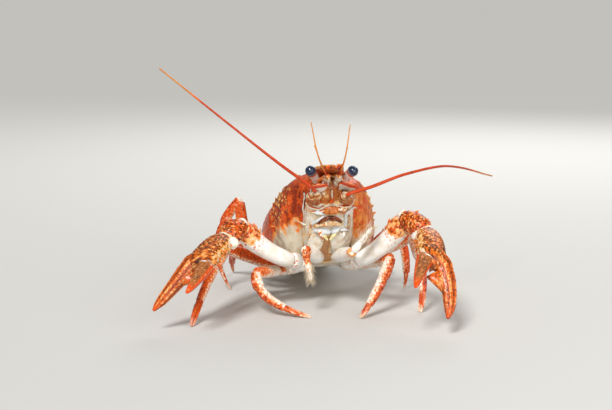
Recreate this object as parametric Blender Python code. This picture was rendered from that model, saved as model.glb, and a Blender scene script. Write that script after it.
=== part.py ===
"""A narrow-clawed crayfish at life size, rearing on its legs with both claws spread.

Lengths are in millimetres in the pose space: X to the viewer's right as the animal faces
the viewer, Y away from the viewer, Z up from the floor. The last step turns them to metres.
Left and right are the animal's own, so its left side is at +X.
"""

import math
import random

import bmesh
import bpy
from mathutils import Matrix, Vector

MM = 0.001
GAP = 0.3
END_ROOM = 0.2
ORIGIN = Vector((0.95, 38.4, 0.0))
SIDES = {"left": 1, "right": -1}

# The body's own frame: x to its left, s back from the rostrum's tip, z up from mid height.
BODY_CENTRE = Vector((-2.4, 21.3, 24.5))
BODY_MIDDLE_S = 35.0
BODY_YAW, BODY_PITCH, BODY_ROLL = 7.5, 16.0, -2.5

# Cephalothorax, as (s, size) tables read smoothly.
HALF_WIDTH = ((13, 7.8), (17, 9.8), (22, 11.9), (28, 13.4), (35, 15.0), (43, 16.2), (51, 15.8), (57, 14.0),
              (61, 11.8))
SHOULDER = ((13, 0.85), (22, 0.8), (28, 0.9), (36, 1.1), (44, 1.35), (61, 1.1))
BACK_Z = ((13, 9.6), (17, 10.5), (22, 11.3), (30, 12.1), (38, 12.8), (46, 12.8), (54, 11.6), (61, 9.6))
WIDEST_Z = ((13, 4.0), (20, 2.0), (28, 0.0), (36, -3.0), (46, -4.5), (61, -2.5))
MARGIN_Z = ((13, -5.0), (22, -8.0), (28, -11.0), (36, -12.0), (46, -11.8), (54, -10.5), (61, -7.5))
MARGIN_ANGLE = 135.0
FRONT_EDGE_S, FRONT_EDGE_Z, FRONT_SLANT = 14.0, 10.5, 0.7
REAR_EDGE_S, REAR_SLANT = 60.0, 0.1
GROOVE_S, GROOVE_SLANT, GROOVE_DEPTH = 40.0, 0.55, 0.7
CAVITY_HALF_WIDTH = ((13, 7.3), (28, 7.9), (36, 9.0), (61, 8.6))
CAVITY_ROOF = ((13, 9.5), (32, -1.7), (61, -1.7))
OUTER_POINTS, INNER_POINTS = 25, 13
LIP, FRONT_BULGE = 0.6, 0.6
FRONT_RINGS = (0, 0.03, 0.1, 0.2, 0.36, 0.56, 0.76, 0.92)
REAR_RINGS = (0, 0.06, 0.18, 0.38, 0.6, 0.8, 0.94, 1)

# Rostrum rings: (s, half width, centre height, half height).
ROSTRUM = ((20, 5.0, 10.2, 1.0), (15, 4.2, 10.1, 1.1), (11, 3.5, 9.9, 1.0), (7, 2.9, 9.6, 0.9),
           (4.6, 2.4, 9.4, 0.8), (3.8, 1.4, 9.3, 0.75), (2, 0.85, 9.1, 0.55), (0, 0.25, 8.9, 0.25))
ROSTRUM_SECTION = ((1, 0.1), (0.9, 1), (0.55, 0.35), (0.2, 0.3), (0, 0.8), (-0.2, 0.3), (-0.55, 0.35),
                   (-0.9, 1), (-1, 0.1), (-0.6, -0.8), (0, -1), (0.6, -0.8))

# Head block under the rostrum and sternum between the legs: (s, half width, bottom, top).
HEAD = ((11.8, 2.6, 4.8, 7.6), (13.5, 5.2, 1.8, 8.2), (16.5, 6.4, -2.2, 6.3), (20.5, 6.8, -6.2, 3.6),
        (24.5, 7.1, -9.6, 1.1), (28.2, 7.2, -11.6, -1.2))
STERNUM = ((28.6, 6.4, -12.0, -1.6), (31, 7.3, -13.2, -3.0), (38, 8.0, -14.0, -3.3), (48, 8.0, -13.4, -3.3),
           (55, 7.6, -12.0, -3.1), (59, 6.6, -9.6, -3.1))

MOUTH_HALF_WIDTH, MOUTH_S, MOUTH_Z = 2.9, 17.1, -3.1

EYE_CENTRE = {"left": (5.9, 0.7, 40.1), "right": (-5.5, -0.7, 40.3)}
EYE_RADIUS = 1.5
STALK_ROOT = (3.0, 14.5, 6.6)
STALK_RADIUS = 1.25

ANTENNULE_ROOT, ANTENNULE_KNUCKLE = (1.5, 13.5, 5.9), (1.9, 4.2, 7.0)
ANTENNULE_TIPS = {
    "left": ((5.0, -4.0, 53.1), (3.5, -11.0, 48.0)),
    "right": ((-5.4, -4.0, 53.7), (-4.2, -11.0, 48.5)),
}
PEDUNCLE_ROOT = (4.5, 17.0, 2.2)
ANTENNA_BASE = {"left": (4.2, -3.0, 34.1), "right": (-4.3, -3.0, 34.9)}
ANTENNA_ROUTE = {
    "left": ((11.0, -1.0, 36.1), (20.3, 4.0, 38.8), (32.9, 18.0, 39.2), (50.1, 52.0, 31.7)),
    "right": ((-14.0, 3.0, 41.8), (-25.0, 10.0, 49.5), (-48.2, 24.0, 66.2)),
}
ANTENNA_RADII = (0.62, 0.25)
BASE_PROFILE = ((0, 1), (0.42, 1.05), (0.48, 0.84), (0.54, 0.92), (0.72, 0.86), (0.77, 0.66), (0.82, 0.7),
                (0.98, 0.46))
SCALE_OUTLINE = ((0, 1.2, 0), (0.2, 2.0, 0), (0.6, 2.35, 0), (0.82, 1.9, 0.5), (0.94, 1.1, 1.2),
                 (1.08, 0.25, 1.9))
SCALE_TILT = 12.0
SCALE_ROOT, SCALE_TIP = (4.9, 15.5, 3.5), (4.6, 6.6, 5.0)

MAXILLIPED_ROOT = (2.6, 29.5, -12.4)
MAXILLIPED_KNEE = {"left": (6.1, 1.0, 17.8), "right": (-7.0, 1.0, 18.3)}
MAXILLIPED_TIP = {"left": (11.1, -1.0, 24.8), "right": (-5.4, 0.0, 9.9)}

# Chelipeds: joints in the pose space.
CHELIPED = {
    "left": {
        "hip": (6.5, 34.0, -13.2), "ischium": (7.8, 8.6, 14.0), "knee": (20.0, 2.0, 27.2),
        "wrist": (25.8, -4.2, 24.2), "palm": (26.6, -14.4, 19.4), "fixed_root": (28.4, -14.2, 19.0),
        "fixed_mid": (31.9, -19.0, 11.2), "fixed_tip": (29.9, -24.0, 5.3), "lobe": (25.0, -18.2, 14.8),
        "finger_root": (24.8, -15.4, 19.7), "finger_tip": (21.1, -28.5, 14.3),
    },
    "right": {
        "hip": (-6.5, 34.0, -13.2), "ischium": (-11.0, 9.8, 13.7), "knee": (-24.4, 2.0, 24.9),
        "wrist": (-28.7, -3.8, 22.3), "palm": (-34.4, -13.8, 18.2), "fixed_root": (-35.9, -13.0, 18.4),
        "fixed_mid": (-39.9, -16.5, 13.9), "fixed_tip": (-46.5, -19.0, 6.2), "lobe": (-36.0, -17.6, 13.4),
        "finger_root": (-32.8, -15.2, 17.7), "finger_tip": (-37.1, -28.3, 12.9),
    },
}
PALM_WIDE, PALM_DEEP = 3.8, 2.75
MERUS_SAG = {"left": 2.3, "right": 1.9}
FIXED_PROFILE = ((0.2, 2.2, 2.1), (0.35, 2.1, 1.95), (0.55, 1.75, 1.65), (0.75, 1.45, 1.35),
                 (0.9, 1.05, 1.0), (1.0, 0.4, 0.4))
FINGER_PROFILE = ((0.07, 1.9, 2.0), (0.25, 1.95, 1.9), (0.5, 1.6, 1.6), (0.75, 1.15, 1.15),
                  (0.92, 0.75, 0.75), (1.0, 0.35, 0.35))
MERUS_PROFILE = ((0.15, 2.2, 2.3, 0.45), (0.42, 2.2, 2.5, 0.9), (0.7, 2.4, 2.9, 1.0), (0.87, 2.6, 3.3, 0.7))
THIGH_PROFILE = ((0.1, 1.4, 1.6), (0.26, 1.4, 1.6), (0.31, 1.25, 1.4), (0.4, 1.35, 1.65),
                 (0.72, 1.4, 1.75), (0.92, 1.3, 1.55))

# Walking legs: hip in the body frame; elbow, knee, bend and foot in the pose space; and size.
LEGS = {
    "leg2_left": {"hip": (6.8, 40.5, -13.4), "knee": (16.6, 3.4, 15.6), "bend": (13.0, 0.0, 6.2),
                  "foot": (8.0, -3.0), "size": 1.2, "pincer": True},
    "leg3_left": {"hip": (6.9, 45.5, -12.8), "knee": (22.7, 12.0, 20.2), "bend": (27.5, 8.0, 10.0),
                  "foot": (24.8, 3.9), "size": 1.05, "pincer": True},
    "leg4_left": {"hip": (6.8, 50.2, -12.2), "knee": (19.9, 30.0, 20.0), "bend": (24.0, 31.0, 10.0),
                  "foot": (22.5, 35.2), "size": 1.0, "pincer": False},
    "leg5_left": {"hip": (6.4, 54.8, -11.2), "knee": (14.5, 46.0, 10.8), "bend": (19.5, 52.0, 8.0),
                  "foot": (17.5, 59.0), "size": 0.95, "pincer": False},
    "leg2_right": {"hip": (-6.8, 40.0, -13.2), "knee": (-20.5, 3.4, 11.4), "bend": (-21.0, 0.5, 3.9),
                   "foot": (-5.5, -2.0), "size": 1.15, "pincer": True},
    "leg3_right": {"hip": (-6.9, 45.0, -12.8), "knee": (-28.8, 10.0, 17.0), "bend": (-34.5, 0.0, 10.0),
                   "foot": (-37.2, -12.5), "size": 1.05, "pincer": True},
    "leg4_right": {"hip": (-6.8, 50.0, -12.2), "elbow": (-25.5, 29.0, 8.0), "knee": (-26.0, 30.0, 27.9),
                   "bend": (-37.5, 31.0, 15.0), "foot": (-29.2, 34.0), "size": 1.0, "pincer": False},
    "leg5_right": {"hip": (-6.4, 54.8, -11.2), "knee": (-25.5, 46.0, 10.8), "bend": (-31.0, 52.0, 8.0),
                   "foot": (-29.5, 59.0), "size": 0.95, "pincer": False},
}

HIP_REACH, HIP_DROP = 3.4, 1.0

# Abdomen segments: (length, half width, half height, slope down in degrees).
ABDOMEN = ((5.0, 10.6, 7.4, 20), (9.0, 11.2, 7.5, 25), (8.5, 11.0, 7.3, 25), (8.0, 10.4, 6.8, 20),
           (8.0, 9.6, 6.0, 10), (9.0, 8.6, 4.9, 4))
TERGITE_PROFILE = ((0, 0.94, 0.72), (0.15, 0.98, 0.84), (0.5, 1.02, 1.04), (0.8, 1.02, 0.9), (1, 1.0, 0.7))
ABDOMEN_START = (0.0, 60.8, 1.4)
TELSON_LENGTH, TELSON_HALF_WIDTH = 13.0, 4.9
UROPOD_BLADES = ((24.0, 12.5, 3.3), (52.0, 13.0, 3.9))
FAN_HEIGHT, FAN_SLOPE = 1.35, 0.075

# Finishes: colour and roughness.
FINISHES = {
    "shell": ((0.75, 0.25, 0.07), 0.4),
    "pale": ((0.86, 0.80, 0.72), 0.5),
    "leg": ((0.82, 0.42, 0.22), 0.45),
    "feeler": ((0.78, 0.16, 0.05), 0.45),
    "eye": ((0.02, 0.03, 0.06), 0.1),
    "tooth": ((0.20, 0.06, 0.03), 0.3),
}


def clear_scene():
    """Removes every object that the startup scene holds."""
    for obj in list(bpy.data.objects):
        bpy.data.objects.remove(obj)


def smooth_value(table, at):
    """Reads a table of (position, value) pairs along a smooth curve."""
    if at <= table[0][0]:
        return table[0][1]
    if at >= table[-1][0]:
        return table[-1][1]
    i = next(k for k in range(len(table) - 1) if at <= table[k + 1][0])
    (x0, y0), (x1, y1) = table[i], table[i + 1]

    def slope(k):
        low, high = max(k - 1, 0), min(k + 1, len(table) - 1)
        return (table[high][1] - table[low][1]) / (table[high][0] - table[low][0])

    span = x1 - x0
    t = (at - x0) / span
    return ((2 * t**3 - 3 * t**2 + 1) * y0 + (t**3 - 2 * t**2 + t) * span * slope(i)
            + (3 * t**2 - 2 * t**3) * y1 + (t**3 - t**2) * span * slope(i + 1))


def body_turn():
    """The rotation of the body's frame."""
    yaw = Matrix.Rotation(math.radians(BODY_YAW), 3, "Z")
    pitch = Matrix.Rotation(math.radians(-BODY_PITCH), 3, "X")
    return yaw @ pitch @ Matrix.Rotation(math.radians(BODY_ROLL), 3, "Y")


def body_point(x, s, z):
    """A point of the body's frame, in the pose space."""
    return BODY_CENTRE + body_turn() @ Vector((x, s - BODY_MIDDLE_S, z))


def bezier(a, b, c, t):
    """A point on the curve from a to c that leans to b."""
    return a * (1 - t) ** 2 + b * (2 * t * (1 - t)) + c * t**2


def curve_through(points, t):
    """A point at t, from 0 to 1, on a smooth curve through the points."""
    spans = len(points) - 1
    i = min(int(t * spans), spans - 1)
    u = t * spans - i
    p0, p1, p2, p3 = (points[min(max(k, 0), spans)] for k in (i - 1, i, i + 1, i + 2))
    bend, twist = 2 * p0 - 5 * p1 + 4 * p2 - p3, 3 * p1 - p0 - 3 * p2 + p3
    return 0.5 * (2 * p1 + (p2 - p0) * u + bend * u**2 + twist * u**3)


def material(name, colour, roughness):
    """A Principled material, made once for each name."""
    if name in bpy.data.materials:
        return bpy.data.materials[name]
    made = bpy.data.materials.new(name)
    made.use_nodes = True
    shader = made.node_tree.nodes["Principled BSDF"]
    shader.inputs["Base Color"].default_value = (*colour, 1.0)
    shader.inputs["Roughness"].default_value = roughness
    shader.inputs["Metallic"].default_value = 0.0
    return made


def new_object(name, bm):
    """Links a mesh object that holds the closed bmesh, its faces pointing out."""
    bmesh.ops.recalc_face_normals(bm, faces=bm.faces)
    mesh = bpy.data.meshes.new(name)
    bm.to_mesh(mesh)
    bm.free()
    obj = bpy.data.objects.new(name, mesh)
    bpy.context.scene.collection.objects.link(obj)
    return obj


def next_ring(bm, ring, points):
    """Extrudes a ring's edges and moves the new ring to the points."""
    edges = [bm.edges.get((ring[k - 1], ring[k])) for k in range(len(ring))]
    raised = bmesh.ops.extrude_edge_only(bm, edges=edges)["geom"]
    made = {item for item in raised if isinstance(item, bmesh.types.BMVert)}
    moved = []
    for old, point in zip(ring, points):
        new = next(e.other_vert(old) for e in old.link_edges if e.other_vert(old) in made)
        new.co = point
        moved.append(new)
    return moved


def skin(rings):
    """A skin through rings of points, and the vertices of its first and last ring."""
    bm = bmesh.new()
    ring = bmesh.ops.create_circle(bm, segments=len(rings[0]), radius=1.0)["verts"]
    for vert, point in zip(ring, rings[0]):
        vert.co = point
    first = ring
    for points in rings[1:]:
        ring = next_ring(bm, ring, points)
    return bm, first, ring


def loft(name, rings):
    """A closed skin through rings of points, capped at both ends."""
    bm, first, last = skin(rings)
    for end in (first, last):
        bm.faces.new(end)
    bmesh.ops.triangulate(bm, faces=[f for f in bm.faces if len(f.verts) > 4])
    return new_object(name, bm)


def ring_points(centre, normal, across_hint, half_across, half_along, sides, fullness=1.0):
    """An oval ring square to normal. A fullness below 1 makes it squarer."""
    normal = normal.normalized()
    across = (across_hint - normal * normal.dot(across_hint)).normalized()
    along = normal.cross(across)
    points = []
    for k in range(sides):
        angle = math.tau * (k + 0.5) / sides
        c, s = math.cos(angle), math.sin(angle)
        x = math.copysign(abs(c) ** fullness, c) * half_across
        y = math.copysign(abs(s) ** fullness, s) * half_along
        points.append(centre + across * x + along * y)
    return points


def limb(name, stations, across_hint, sides=10, start_normal=None, end_normal=None, fullness=0.9):
    """A tube through stations (point, half across, half along), each ring square to the way."""
    points = [s[0] for s in stations]
    rings = []
    last = len(stations) - 1
    for k, (point, wide, deep) in enumerate(stations):
        normal = (points[min(k + 1, last)] - points[max(k - 1, 0)]).normalized()
        if k == 0 and start_normal:
            normal = start_normal
        if k == last and end_normal:
            normal = end_normal
        rings.append(ring_points(point, normal, across_hint, wide, deep, sides, fullness))
    ends = (points, start_normal, end_normal)
    kept = [rings[k] for k in range(1, last) if clears_ends(rings[k], stations[k], *ends)]
    return loft(name, [rings[0], *kept, rings[-1]])


def clears_ends(ring, station, points, start_normal, end_normal):
    """Whether a ring that is near an end of its limb lies inside the slanted plane there."""
    centre, wide, deep = station
    near = 2.5 * max(wide, deep)
    clear = True
    if start_normal and (centre - points[0]).length < near:
        clear = all((p - points[0]).dot(start_normal) > END_ROOM for p in ring)
    if end_normal and (centre - points[-1]).length < near:
        clear = clear and all((points[-1] - p).dot(end_normal) > END_ROOM for p in ring)
    return clear


def segment_stations(start, end, wide, deep, profile):
    """Stations of one hard segment, by a profile of (share of length, share of size)."""
    return [(start.lerp(end, t), wide * f, deep * f) for t, f in profile]


def meeting_normal(before, joint, after):
    """The normal of the plane that halves the bend at a joint."""
    return ((joint - before).normalized() + (after - joint).normalized()).normalized()


def keep_largest(obj):
    """Leaves only the object's largest closed surface."""
    bm = bmesh.new()
    bm.from_mesh(obj.data)
    bmesh.ops.remove_doubles(bm, verts=bm.verts, dist=0.002)
    bmesh.ops.dissolve_degenerate(bm, edges=bm.edges, dist=0.002)
    left, shells = set(bm.faces), []
    while left:
        stack, shell = [left.pop()], set()
        while stack:
            face = stack.pop()
            shell.add(face)
            for edge in face.edges:
                for other in edge.link_faces:
                    if other in left:
                        left.discard(other)
                        stack.append(other)
        shells.append(shell)
    shells.sort(key=lambda shell: sum(f.calc_area() for f in shell))
    bmesh.ops.delete(bm, geom=[f for shell in shells[:-1] for f in shell], context="FACES")
    bmesh.ops.triangulate(bm, faces=bm.faces)
    bm.to_mesh(obj.data)
    bm.free()


def apply_modifiers(obj):
    """Replaces the object's mesh by what its modifiers make of it."""
    graph = bpy.context.evaluated_depsgraph_get()
    made = bpy.data.meshes.new_from_object(obj.evaluated_get(graph))
    obj.modifiers.clear()
    obj.data = made


def boolean(obj, others, operation):
    """Joins the others to the object or cuts them from it, and removes them."""
    if not others:
        return
    group = bpy.data.collections.new("pieces")
    bpy.context.scene.collection.children.link(group)
    for other in others:
        bpy.context.scene.collection.objects.unlink(other)
        group.objects.link(other)
    modifier = obj.modifiers.new("boolean", "BOOLEAN")
    modifier.operation = operation
    modifier.operand_type = "COLLECTION"
    modifier.collection = group
    modifier.solver = "EXACT"
    apply_modifiers(obj)
    for other in others:
        bpy.data.objects.remove(other)
    bpy.data.collections.remove(group)


def inflated(obj, by=GAP):
    """A copy of the object, swollen by a clearance."""
    bm = bmesh.new()
    bm.from_mesh(obj.data)
    bm.normal_update()
    moves = [(v, v.normal * by * v.calc_shell_factor()) for v in bm.verts]
    for vert, move in moves:
        vert.co += move
    return new_object("cutter", bm)


def cut_clear(obj, cutters):
    """Cuts the object back by each of the cutters, which are made anew by calling them."""
    for cutter in cutters:
        boolean(obj, [cutter()], "DIFFERENCE")
        keep_largest(obj)


def spine(root, direction, length, radius, sides=5, sunk=0.5):
    """A thorn on a surface, its root sunk in."""
    bm = bmesh.new()
    bmesh.ops.create_cone(bm, cap_ends=True, cap_tris=True, segments=sides,
                          radius1=radius * (1 + sunk / length), radius2=0.06, depth=length + sunk)
    direction = direction.normalized()
    turn = direction.to_track_quat("Z", "Y").to_matrix().to_4x4()
    place = Matrix.Translation(root + direction * (length - sunk) / 2)
    bmesh.ops.transform(bm, matrix=place @ turn, verts=bm.verts)
    return new_object("spine", bm)


def shell_edges(u, z):
    """How far back a ring lies at height z; u runs from -1 at the front edge to 1 at the rear."""
    front = FRONT_EDGE_S + FRONT_SLANT * (FRONT_EDGE_Z - min(z, FRONT_EDGE_Z))
    rear = REAR_EDGE_S - REAR_SLANT * (FRONT_EDGE_Z - z)
    groove = max(GROOVE_S - GROOVE_SLANT * (FRONT_EDGE_Z - min(z, FRONT_EDGE_Z)), front + 3.0)
    return groove + u * (groove - front) if u < 0 else groove + u * (rear - groove)


def shell_point(s, angle, swell=0.0):
    """A point on the shell's outside at s; angle is 0 on the back and grows to the left."""
    a = math.radians(angle)
    bulge = smooth_value(SHOULDER, s) if abs(angle) <= 90 else 0.85
    x = math.copysign(smooth_value(HALF_WIDTH, s) * abs(math.sin(a)) ** bulge, a)
    widest = smooth_value(WIDEST_Z, s)
    if abs(angle) <= 90:
        z = widest + (smooth_value(BACK_Z, s) - widest) * math.cos(a) ** 0.92
    else:
        share = math.cos(a) / math.cos(math.radians(MARGIN_ANGLE))
        z = widest + (smooth_value(MARGIN_Z, s) - widest) * share
    reach = math.hypot(x, z)
    return Vector((x, s, z)) + Vector((x, 0, z)) / reach * swell


def cavity_point(u, angle):
    """A point on the shell's inside; angle runs from 0 at the left margin to 180 at the right."""
    a = math.radians(angle)
    x_share = math.copysign(abs(math.cos(a)) ** 0.45, math.cos(a))
    z_share = abs(math.sin(a)) ** 0.6
    z = 0.0
    for _ in range(12):
        s = shell_edges(u, z)
        z = smooth_value(MARGIN_Z, s) * (1 - z_share) + smooth_value(CAVITY_ROOF, s) * z_share
    return Vector((smooth_value(CAVITY_HALF_WIDTH, s) * x_share, s, z))


def shell_outer(u, angle, swell):
    """A point on the shell's outside, drawn in to the cavity near the front edge."""
    s = shell_edges(u, 0.0)
    for _ in range(12):
        point = shell_point(s, angle, swell)
        s = shell_edges(u, point.z)
    share = min((u + 1) / FRONT_BULGE, 1.0)
    full = 0.06 + 0.94 * math.sqrt(1 - (1 - share) ** 2)
    inner = cavity_point(u, 90 - angle * 90 / MARGIN_ANGLE)
    middle = Vector((0, inner.y, smooth_value(MARGIN_Z, inner.y)))
    lip = inner + (inner - middle).normalized() * (LIP + swell)
    point = lip.lerp(point, full)
    return Vector((point.x, shell_edges(u, point.z), point.z))


def shell_ring(u, swell=0.0):
    """One ring of the carapace: over the back from margin to margin, and back inside."""
    outer = [MARGIN_ANGLE * (2 * k / (OUTER_POINTS - 1) - 1) for k in range(OUTER_POINTS)]
    points = [body_point(*shell_outer(u, angle, swell)) for angle in outer]
    inner = [180 * k / (INNER_POINTS - 1) for k in range(INNER_POINTS)]
    return points + [body_point(*cavity_point(u, angle)) for angle in inner]


def close_shell_end(bm, ring):
    """Fills the edge of the shell between its outside and its inside."""
    outer, inner = ring[:OUTER_POINTS], ring[OUTER_POINTS:]
    for k in range(INNER_POINTS - 1):
        top = OUTER_POINTS - 1 - 2 * k
        bm.faces.new((outer[top], outer[top - 1], outer[top - 2], inner[k + 1], inner[k]))


def shell_envelope():
    """A solid that fills the shell and a clearance round it."""
    rings = []
    for u in [-1 + u for u in FRONT_RINGS] + list(REAR_RINGS):
        away = body_turn() @ Vector((0, GAP * (u if abs(u) == 1 else 0), 0))
        outer = [MARGIN_ANGLE * (2 * k / (OUTER_POINTS - 1) - 1) for k in range(OUTER_POINTS)]
        rings.append([body_point(*shell_outer(u, angle, GAP * 2.0)) + away for angle in outer])
    return loft("envelope", rings)


def shell_spine(u, angle, length, radius, lean):
    """A thorn on the shell that leans forward by the given share."""
    here = body_point(*shell_outer(u, angle, 0.0))
    ahead = body_point(*shell_outer(u - 0.02, angle, 0.0))
    aside = body_point(*shell_outer(u, angle + 2, 0.0))
    forward = (ahead - here).normalized()
    outward = (aside - here).cross(forward).normalized()
    if outward.dot(here - BODY_CENTRE) < 0:
        outward = -outward
    return spine(here, outward + forward * lean, length, radius)


def shell_spines():
    """The cervical and postorbital spines, and the tubercles of the cheeks."""
    made = []
    chance = random.Random(5)
    for sign in SIDES.values():
        for angle, length in ((52, 0.9), (62, 1.2), (72, 1.5), (83, 1.2), (94, 1.0)):
            made.append(shell_spine(-0.17, sign * angle, length, 0.55, 0.9))
        made.append(shell_spine(-0.8, sign * 33, 1.5, 0.6, 1.4))
        made.append(shell_spine(-0.45, sign * 27, 1.0, 0.55, 1.2))
        for row, u in enumerate((-0.32, -0.46, -0.6)):
            for k in range(5):
                angle = 50 + 12 * k + 6 * (row % 2) + chance.uniform(-1.5, 1.5)
                made.append(shell_spine(u, sign * angle, chance.uniform(0.45, 0.75), 0.42, 0.4))
    return made


def rostrum_spines():
    """The teeth along the rostrum's sides."""
    made = []
    for sign in SIDES.values():
        for s, length in ((4.7, 1.7), (7.4, 0.9), (9.8, 0.8)):
            half, height = smooth_value(tuple((r[0], r[1]) for r in ROSTRUM[::-1]), s), 9.35 + 0.08 * s
            root = body_point(sign * (half - 0.35), s + 0.3, height)
            tip = body_point(sign * (half + 0.35), s - length, height + 0.2)
            made.append(spine(root, tip - root, length, 0.42, 5, 0.4))
    return made


def make_carapace():
    """The shell with its cervical groove and spines, and the rostrum."""
    rings = [shell_ring(-1 + u) for u in FRONT_RINGS]
    rings += [shell_ring(u, -GROOVE_DEPTH if u == 0 else 0.0) for u in REAR_RINGS]
    bm, first, last = skin(rings)
    close_shell_end(bm, first)
    close_shell_end(bm, last)
    shell = new_object("carapace", bm)
    ridges = [[body_point(w * x, s, z + h * y) for x, y in ROSTRUM_SECTION] for s, w, z, h in ROSTRUM]
    rostrum = loft("rostrum", ridges)
    boolean(shell, [rostrum], "UNION")
    boolean(shell, shell_spines() + rostrum_spines(), "UNION")
    keep_largest(shell)
    return shell


def block(name, table, swell=0.0, sides=18, fullness=0.8):
    """A block along the body by a table of (s, half width, bottom, top)."""
    rings = []
    for k, (s, half, low, high) in enumerate(table):
        s += swell * (1 if k == len(table) - 1 else -1 if k == 0 else 0)
        ring = ring_points(Vector((0, s, (low + high) / 2)), Vector((0, 1, 0)), Vector((1, 0, 0)),
                           half + swell, (high - low) / 2 + swell, sides, fullness)
        rings.append([body_point(*p) for p in ring])
    return loft(name, rings)


def head_cutter():
    """The head block with its clearance."""
    return block("cutter", HEAD, GAP * 1.2)


def sternum_cutter():
    """The sternum with its clearance."""
    return block("cutter", STERNUM, GAP * 1.2)


def make_eye(side):
    """The eyestalk and the eye on it."""
    sign = SIDES[side]
    root = body_point(sign * STALK_ROOT[0], STALK_ROOT[1], STALK_ROOT[2])
    centre = Vector(EYE_CENTRE[side])
    way = (centre - root).normalized()
    seam = centre - way * 0.7
    up = Vector((0, 0, 1))
    stations = [(root, STALK_RADIUS), (root.lerp(seam, 0.5), STALK_RADIUS * 0.92), (seam - way * 0.6, 1.3)]
    stations.append((seam - way * GAP, 1.38))
    stalk = limb(f"eyestalk_{side}", [(p, r, r) for p, r in stations], up, 12, fullness=1.0)
    stations = []
    for height in (-0.7, -0.25, 0.35, 0.9, 1.3, 1.55):
        radius = math.sqrt(max(EYE_RADIUS**2 - height**2, 0.04))
        stations.append((centre + way * height, radius, radius))
    eye = limb(f"eye_{side}", stations, up, 14, fullness=1.0)
    return stalk, eye


def feeler(name, points, radii, sides=6, steps=22, start_normal=None):
    """A whip that thins along a smooth curve."""
    fine = [curve_through(points, k / 400) for k in range(401)]
    reach = [0.0]
    for before, after in zip(fine, fine[1:]):
        reach.append(reach[-1] + (after - before).length)
    stations = []
    for k in range(steps + 1):
        t = k / steps
        at = min(range(401), key=lambda i: abs(reach[i] - t * reach[-1]))
        radius = radii[0] + (radii[1] - radii[0]) * t**0.7
        stations.append((fine[at], radius, radius))
    return limb(name, stations, Vector((0.1, 0.2, 1)), sides, start_normal=start_normal, fullness=1.0)


def make_antennule(side):
    """The short inner feeler: a jointed stem and its two whips."""
    sign = SIDES[side]
    root = body_point(sign * ANTENNULE_ROOT[0], *ANTENNULE_ROOT[1:])
    knuckle = body_point(sign * ANTENNULE_KNUCKLE[0], *ANTENNULE_KNUCKLE[1:])
    profile = ((0, 0.95), (0.45, 0.95), (0.5, 0.81), (0.55, 0.9), (0.75, 0.81), (0.8, 0.68), (0.84, 0.78))
    stations = segment_stations(root, knuckle, 1, 1, (*profile, (1, 0.57)))
    stem = limb(f"antennule_{side}", stations, Vector((0, 0, 1)), 10)
    whips = []
    for tip in ANTENNULE_TIPS[side]:
        tip = Vector(tip)
        start = knuckle.lerp(root, 0.12)
        lean = start.lerp(tip, 0.5) + Vector((0, -2.5, -1.0))
        whips.append(feeler("whip", [start, lean, tip], (0.36, 0.25), 6, 10))
    boolean(stem, whips, "UNION")
    keep_largest(stem)
    return stem


def make_antenna(side):
    """The antenna's jointed base, its scale and its long whip."""
    sign = SIDES[side]
    root = body_point(sign * PEDUNCLE_ROOT[0], *PEDUNCLE_ROOT[1:])
    tip = Vector(ANTENNA_BASE[side])
    stations = segment_stations(root, tip, 2.1, 1.9, BASE_PROFILE)
    base = limb(f"antenna_base_{side}", stations, Vector((1, 0, 0)), 12)
    way = (tip - root).normalized()
    route = [tip + way * GAP * 1.8] + [Vector(p) for p in ANTENNA_ROUTE[side]]
    aim = (route[1] - route[0]).normalized()
    lean = (way * 1.4 + aim).normalized()
    route.insert(1, route[0] + way * 1.0 + aim * 1.8)
    whip = feeler(f"antenna_{side}", route, ANTENNA_RADII, 7, 30, lean)
    start = body_point(sign * SCALE_ROOT[0], *SCALE_ROOT[1:])
    end = body_point(sign * SCALE_TIP[0], *SCALE_TIP[1:])
    tilt = math.radians(SCALE_TILT)
    outward = body_turn() @ Vector((sign * math.cos(tilt), 0, -math.sin(tilt)))
    blade = []
    for t, half, shift in SCALE_OUTLINE:
        blade.append((start + (end - start) * t + outward * shift, half, 0.35 if t < 1 else 0.2))
    scale = limb(f"antennal_scale_{side}", blade, outward, 8)
    return base, whip, scale


def make_maxilliped(side):
    """The third maxilliped: its stout lower length and the palp beyond the knee."""
    sign = SIDES[side]
    root = body_point(sign * MAXILLIPED_ROOT[0], *MAXILLIPED_ROOT[1:])
    knee, tip = Vector(MAXILLIPED_KNEE[side]), Vector(MAXILLIPED_TIP[side])
    bend = meeting_normal(root, knee, tip)
    hint = (knee - root).cross(tip - knee).normalized()
    stations = segment_stations(root, knee, 1.0, 1.0, ((0, 1.7), (0.3, 1.95), (0.62, 1.8), (0.84, 1.5)))
    stations.append((knee - bend * GAP / 2, 1.25, 1.3))
    thigh = limb(f"maxilliped_{side}", stations, hint, 10, end_normal=bend)
    profile = ((0.24, 1.15), (0.34, 0.9), (0.45, 1.0), (0.68, 0.8), (0.74, 0.6), (1, 0.3))
    stations = [(knee + bend * GAP / 2, 1.2, 1.25)] + segment_stations(knee, tip, 1.0, 1.0, profile)
    palp = limb(f"maxilliped_palp_{side}", stations, hint, 10, start_normal=bend)
    return thigh, palp


def make_mandibles():
    """The dark biting edges of the jaws, one arched bar across the mouth."""
    stations = []
    for k in range(9):
        x = MOUTH_HALF_WIDTH * (k / 4 - 1)
        drop = 0.09 * x * x
        size = 1.0 - 0.05 * x * x
        stations.append((body_point(x, MOUTH_S + 0.5 * drop, MOUTH_Z - drop), size, size))
    return limb("mandibles", stations, body_turn() @ Vector((0, 1, 0)), 8)


def limb_spine(start, end, share, out, reach, length, radius, lean=0.5):
    """A thorn on a limb: at a share of its length, out to one side by reach."""
    way = (end - start).normalized()
    out = (out - way * way.dot(out)).normalized()
    root = start.lerp(end, share) + out * reach
    return spine(root, out + way * lean, length, radius)


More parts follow.
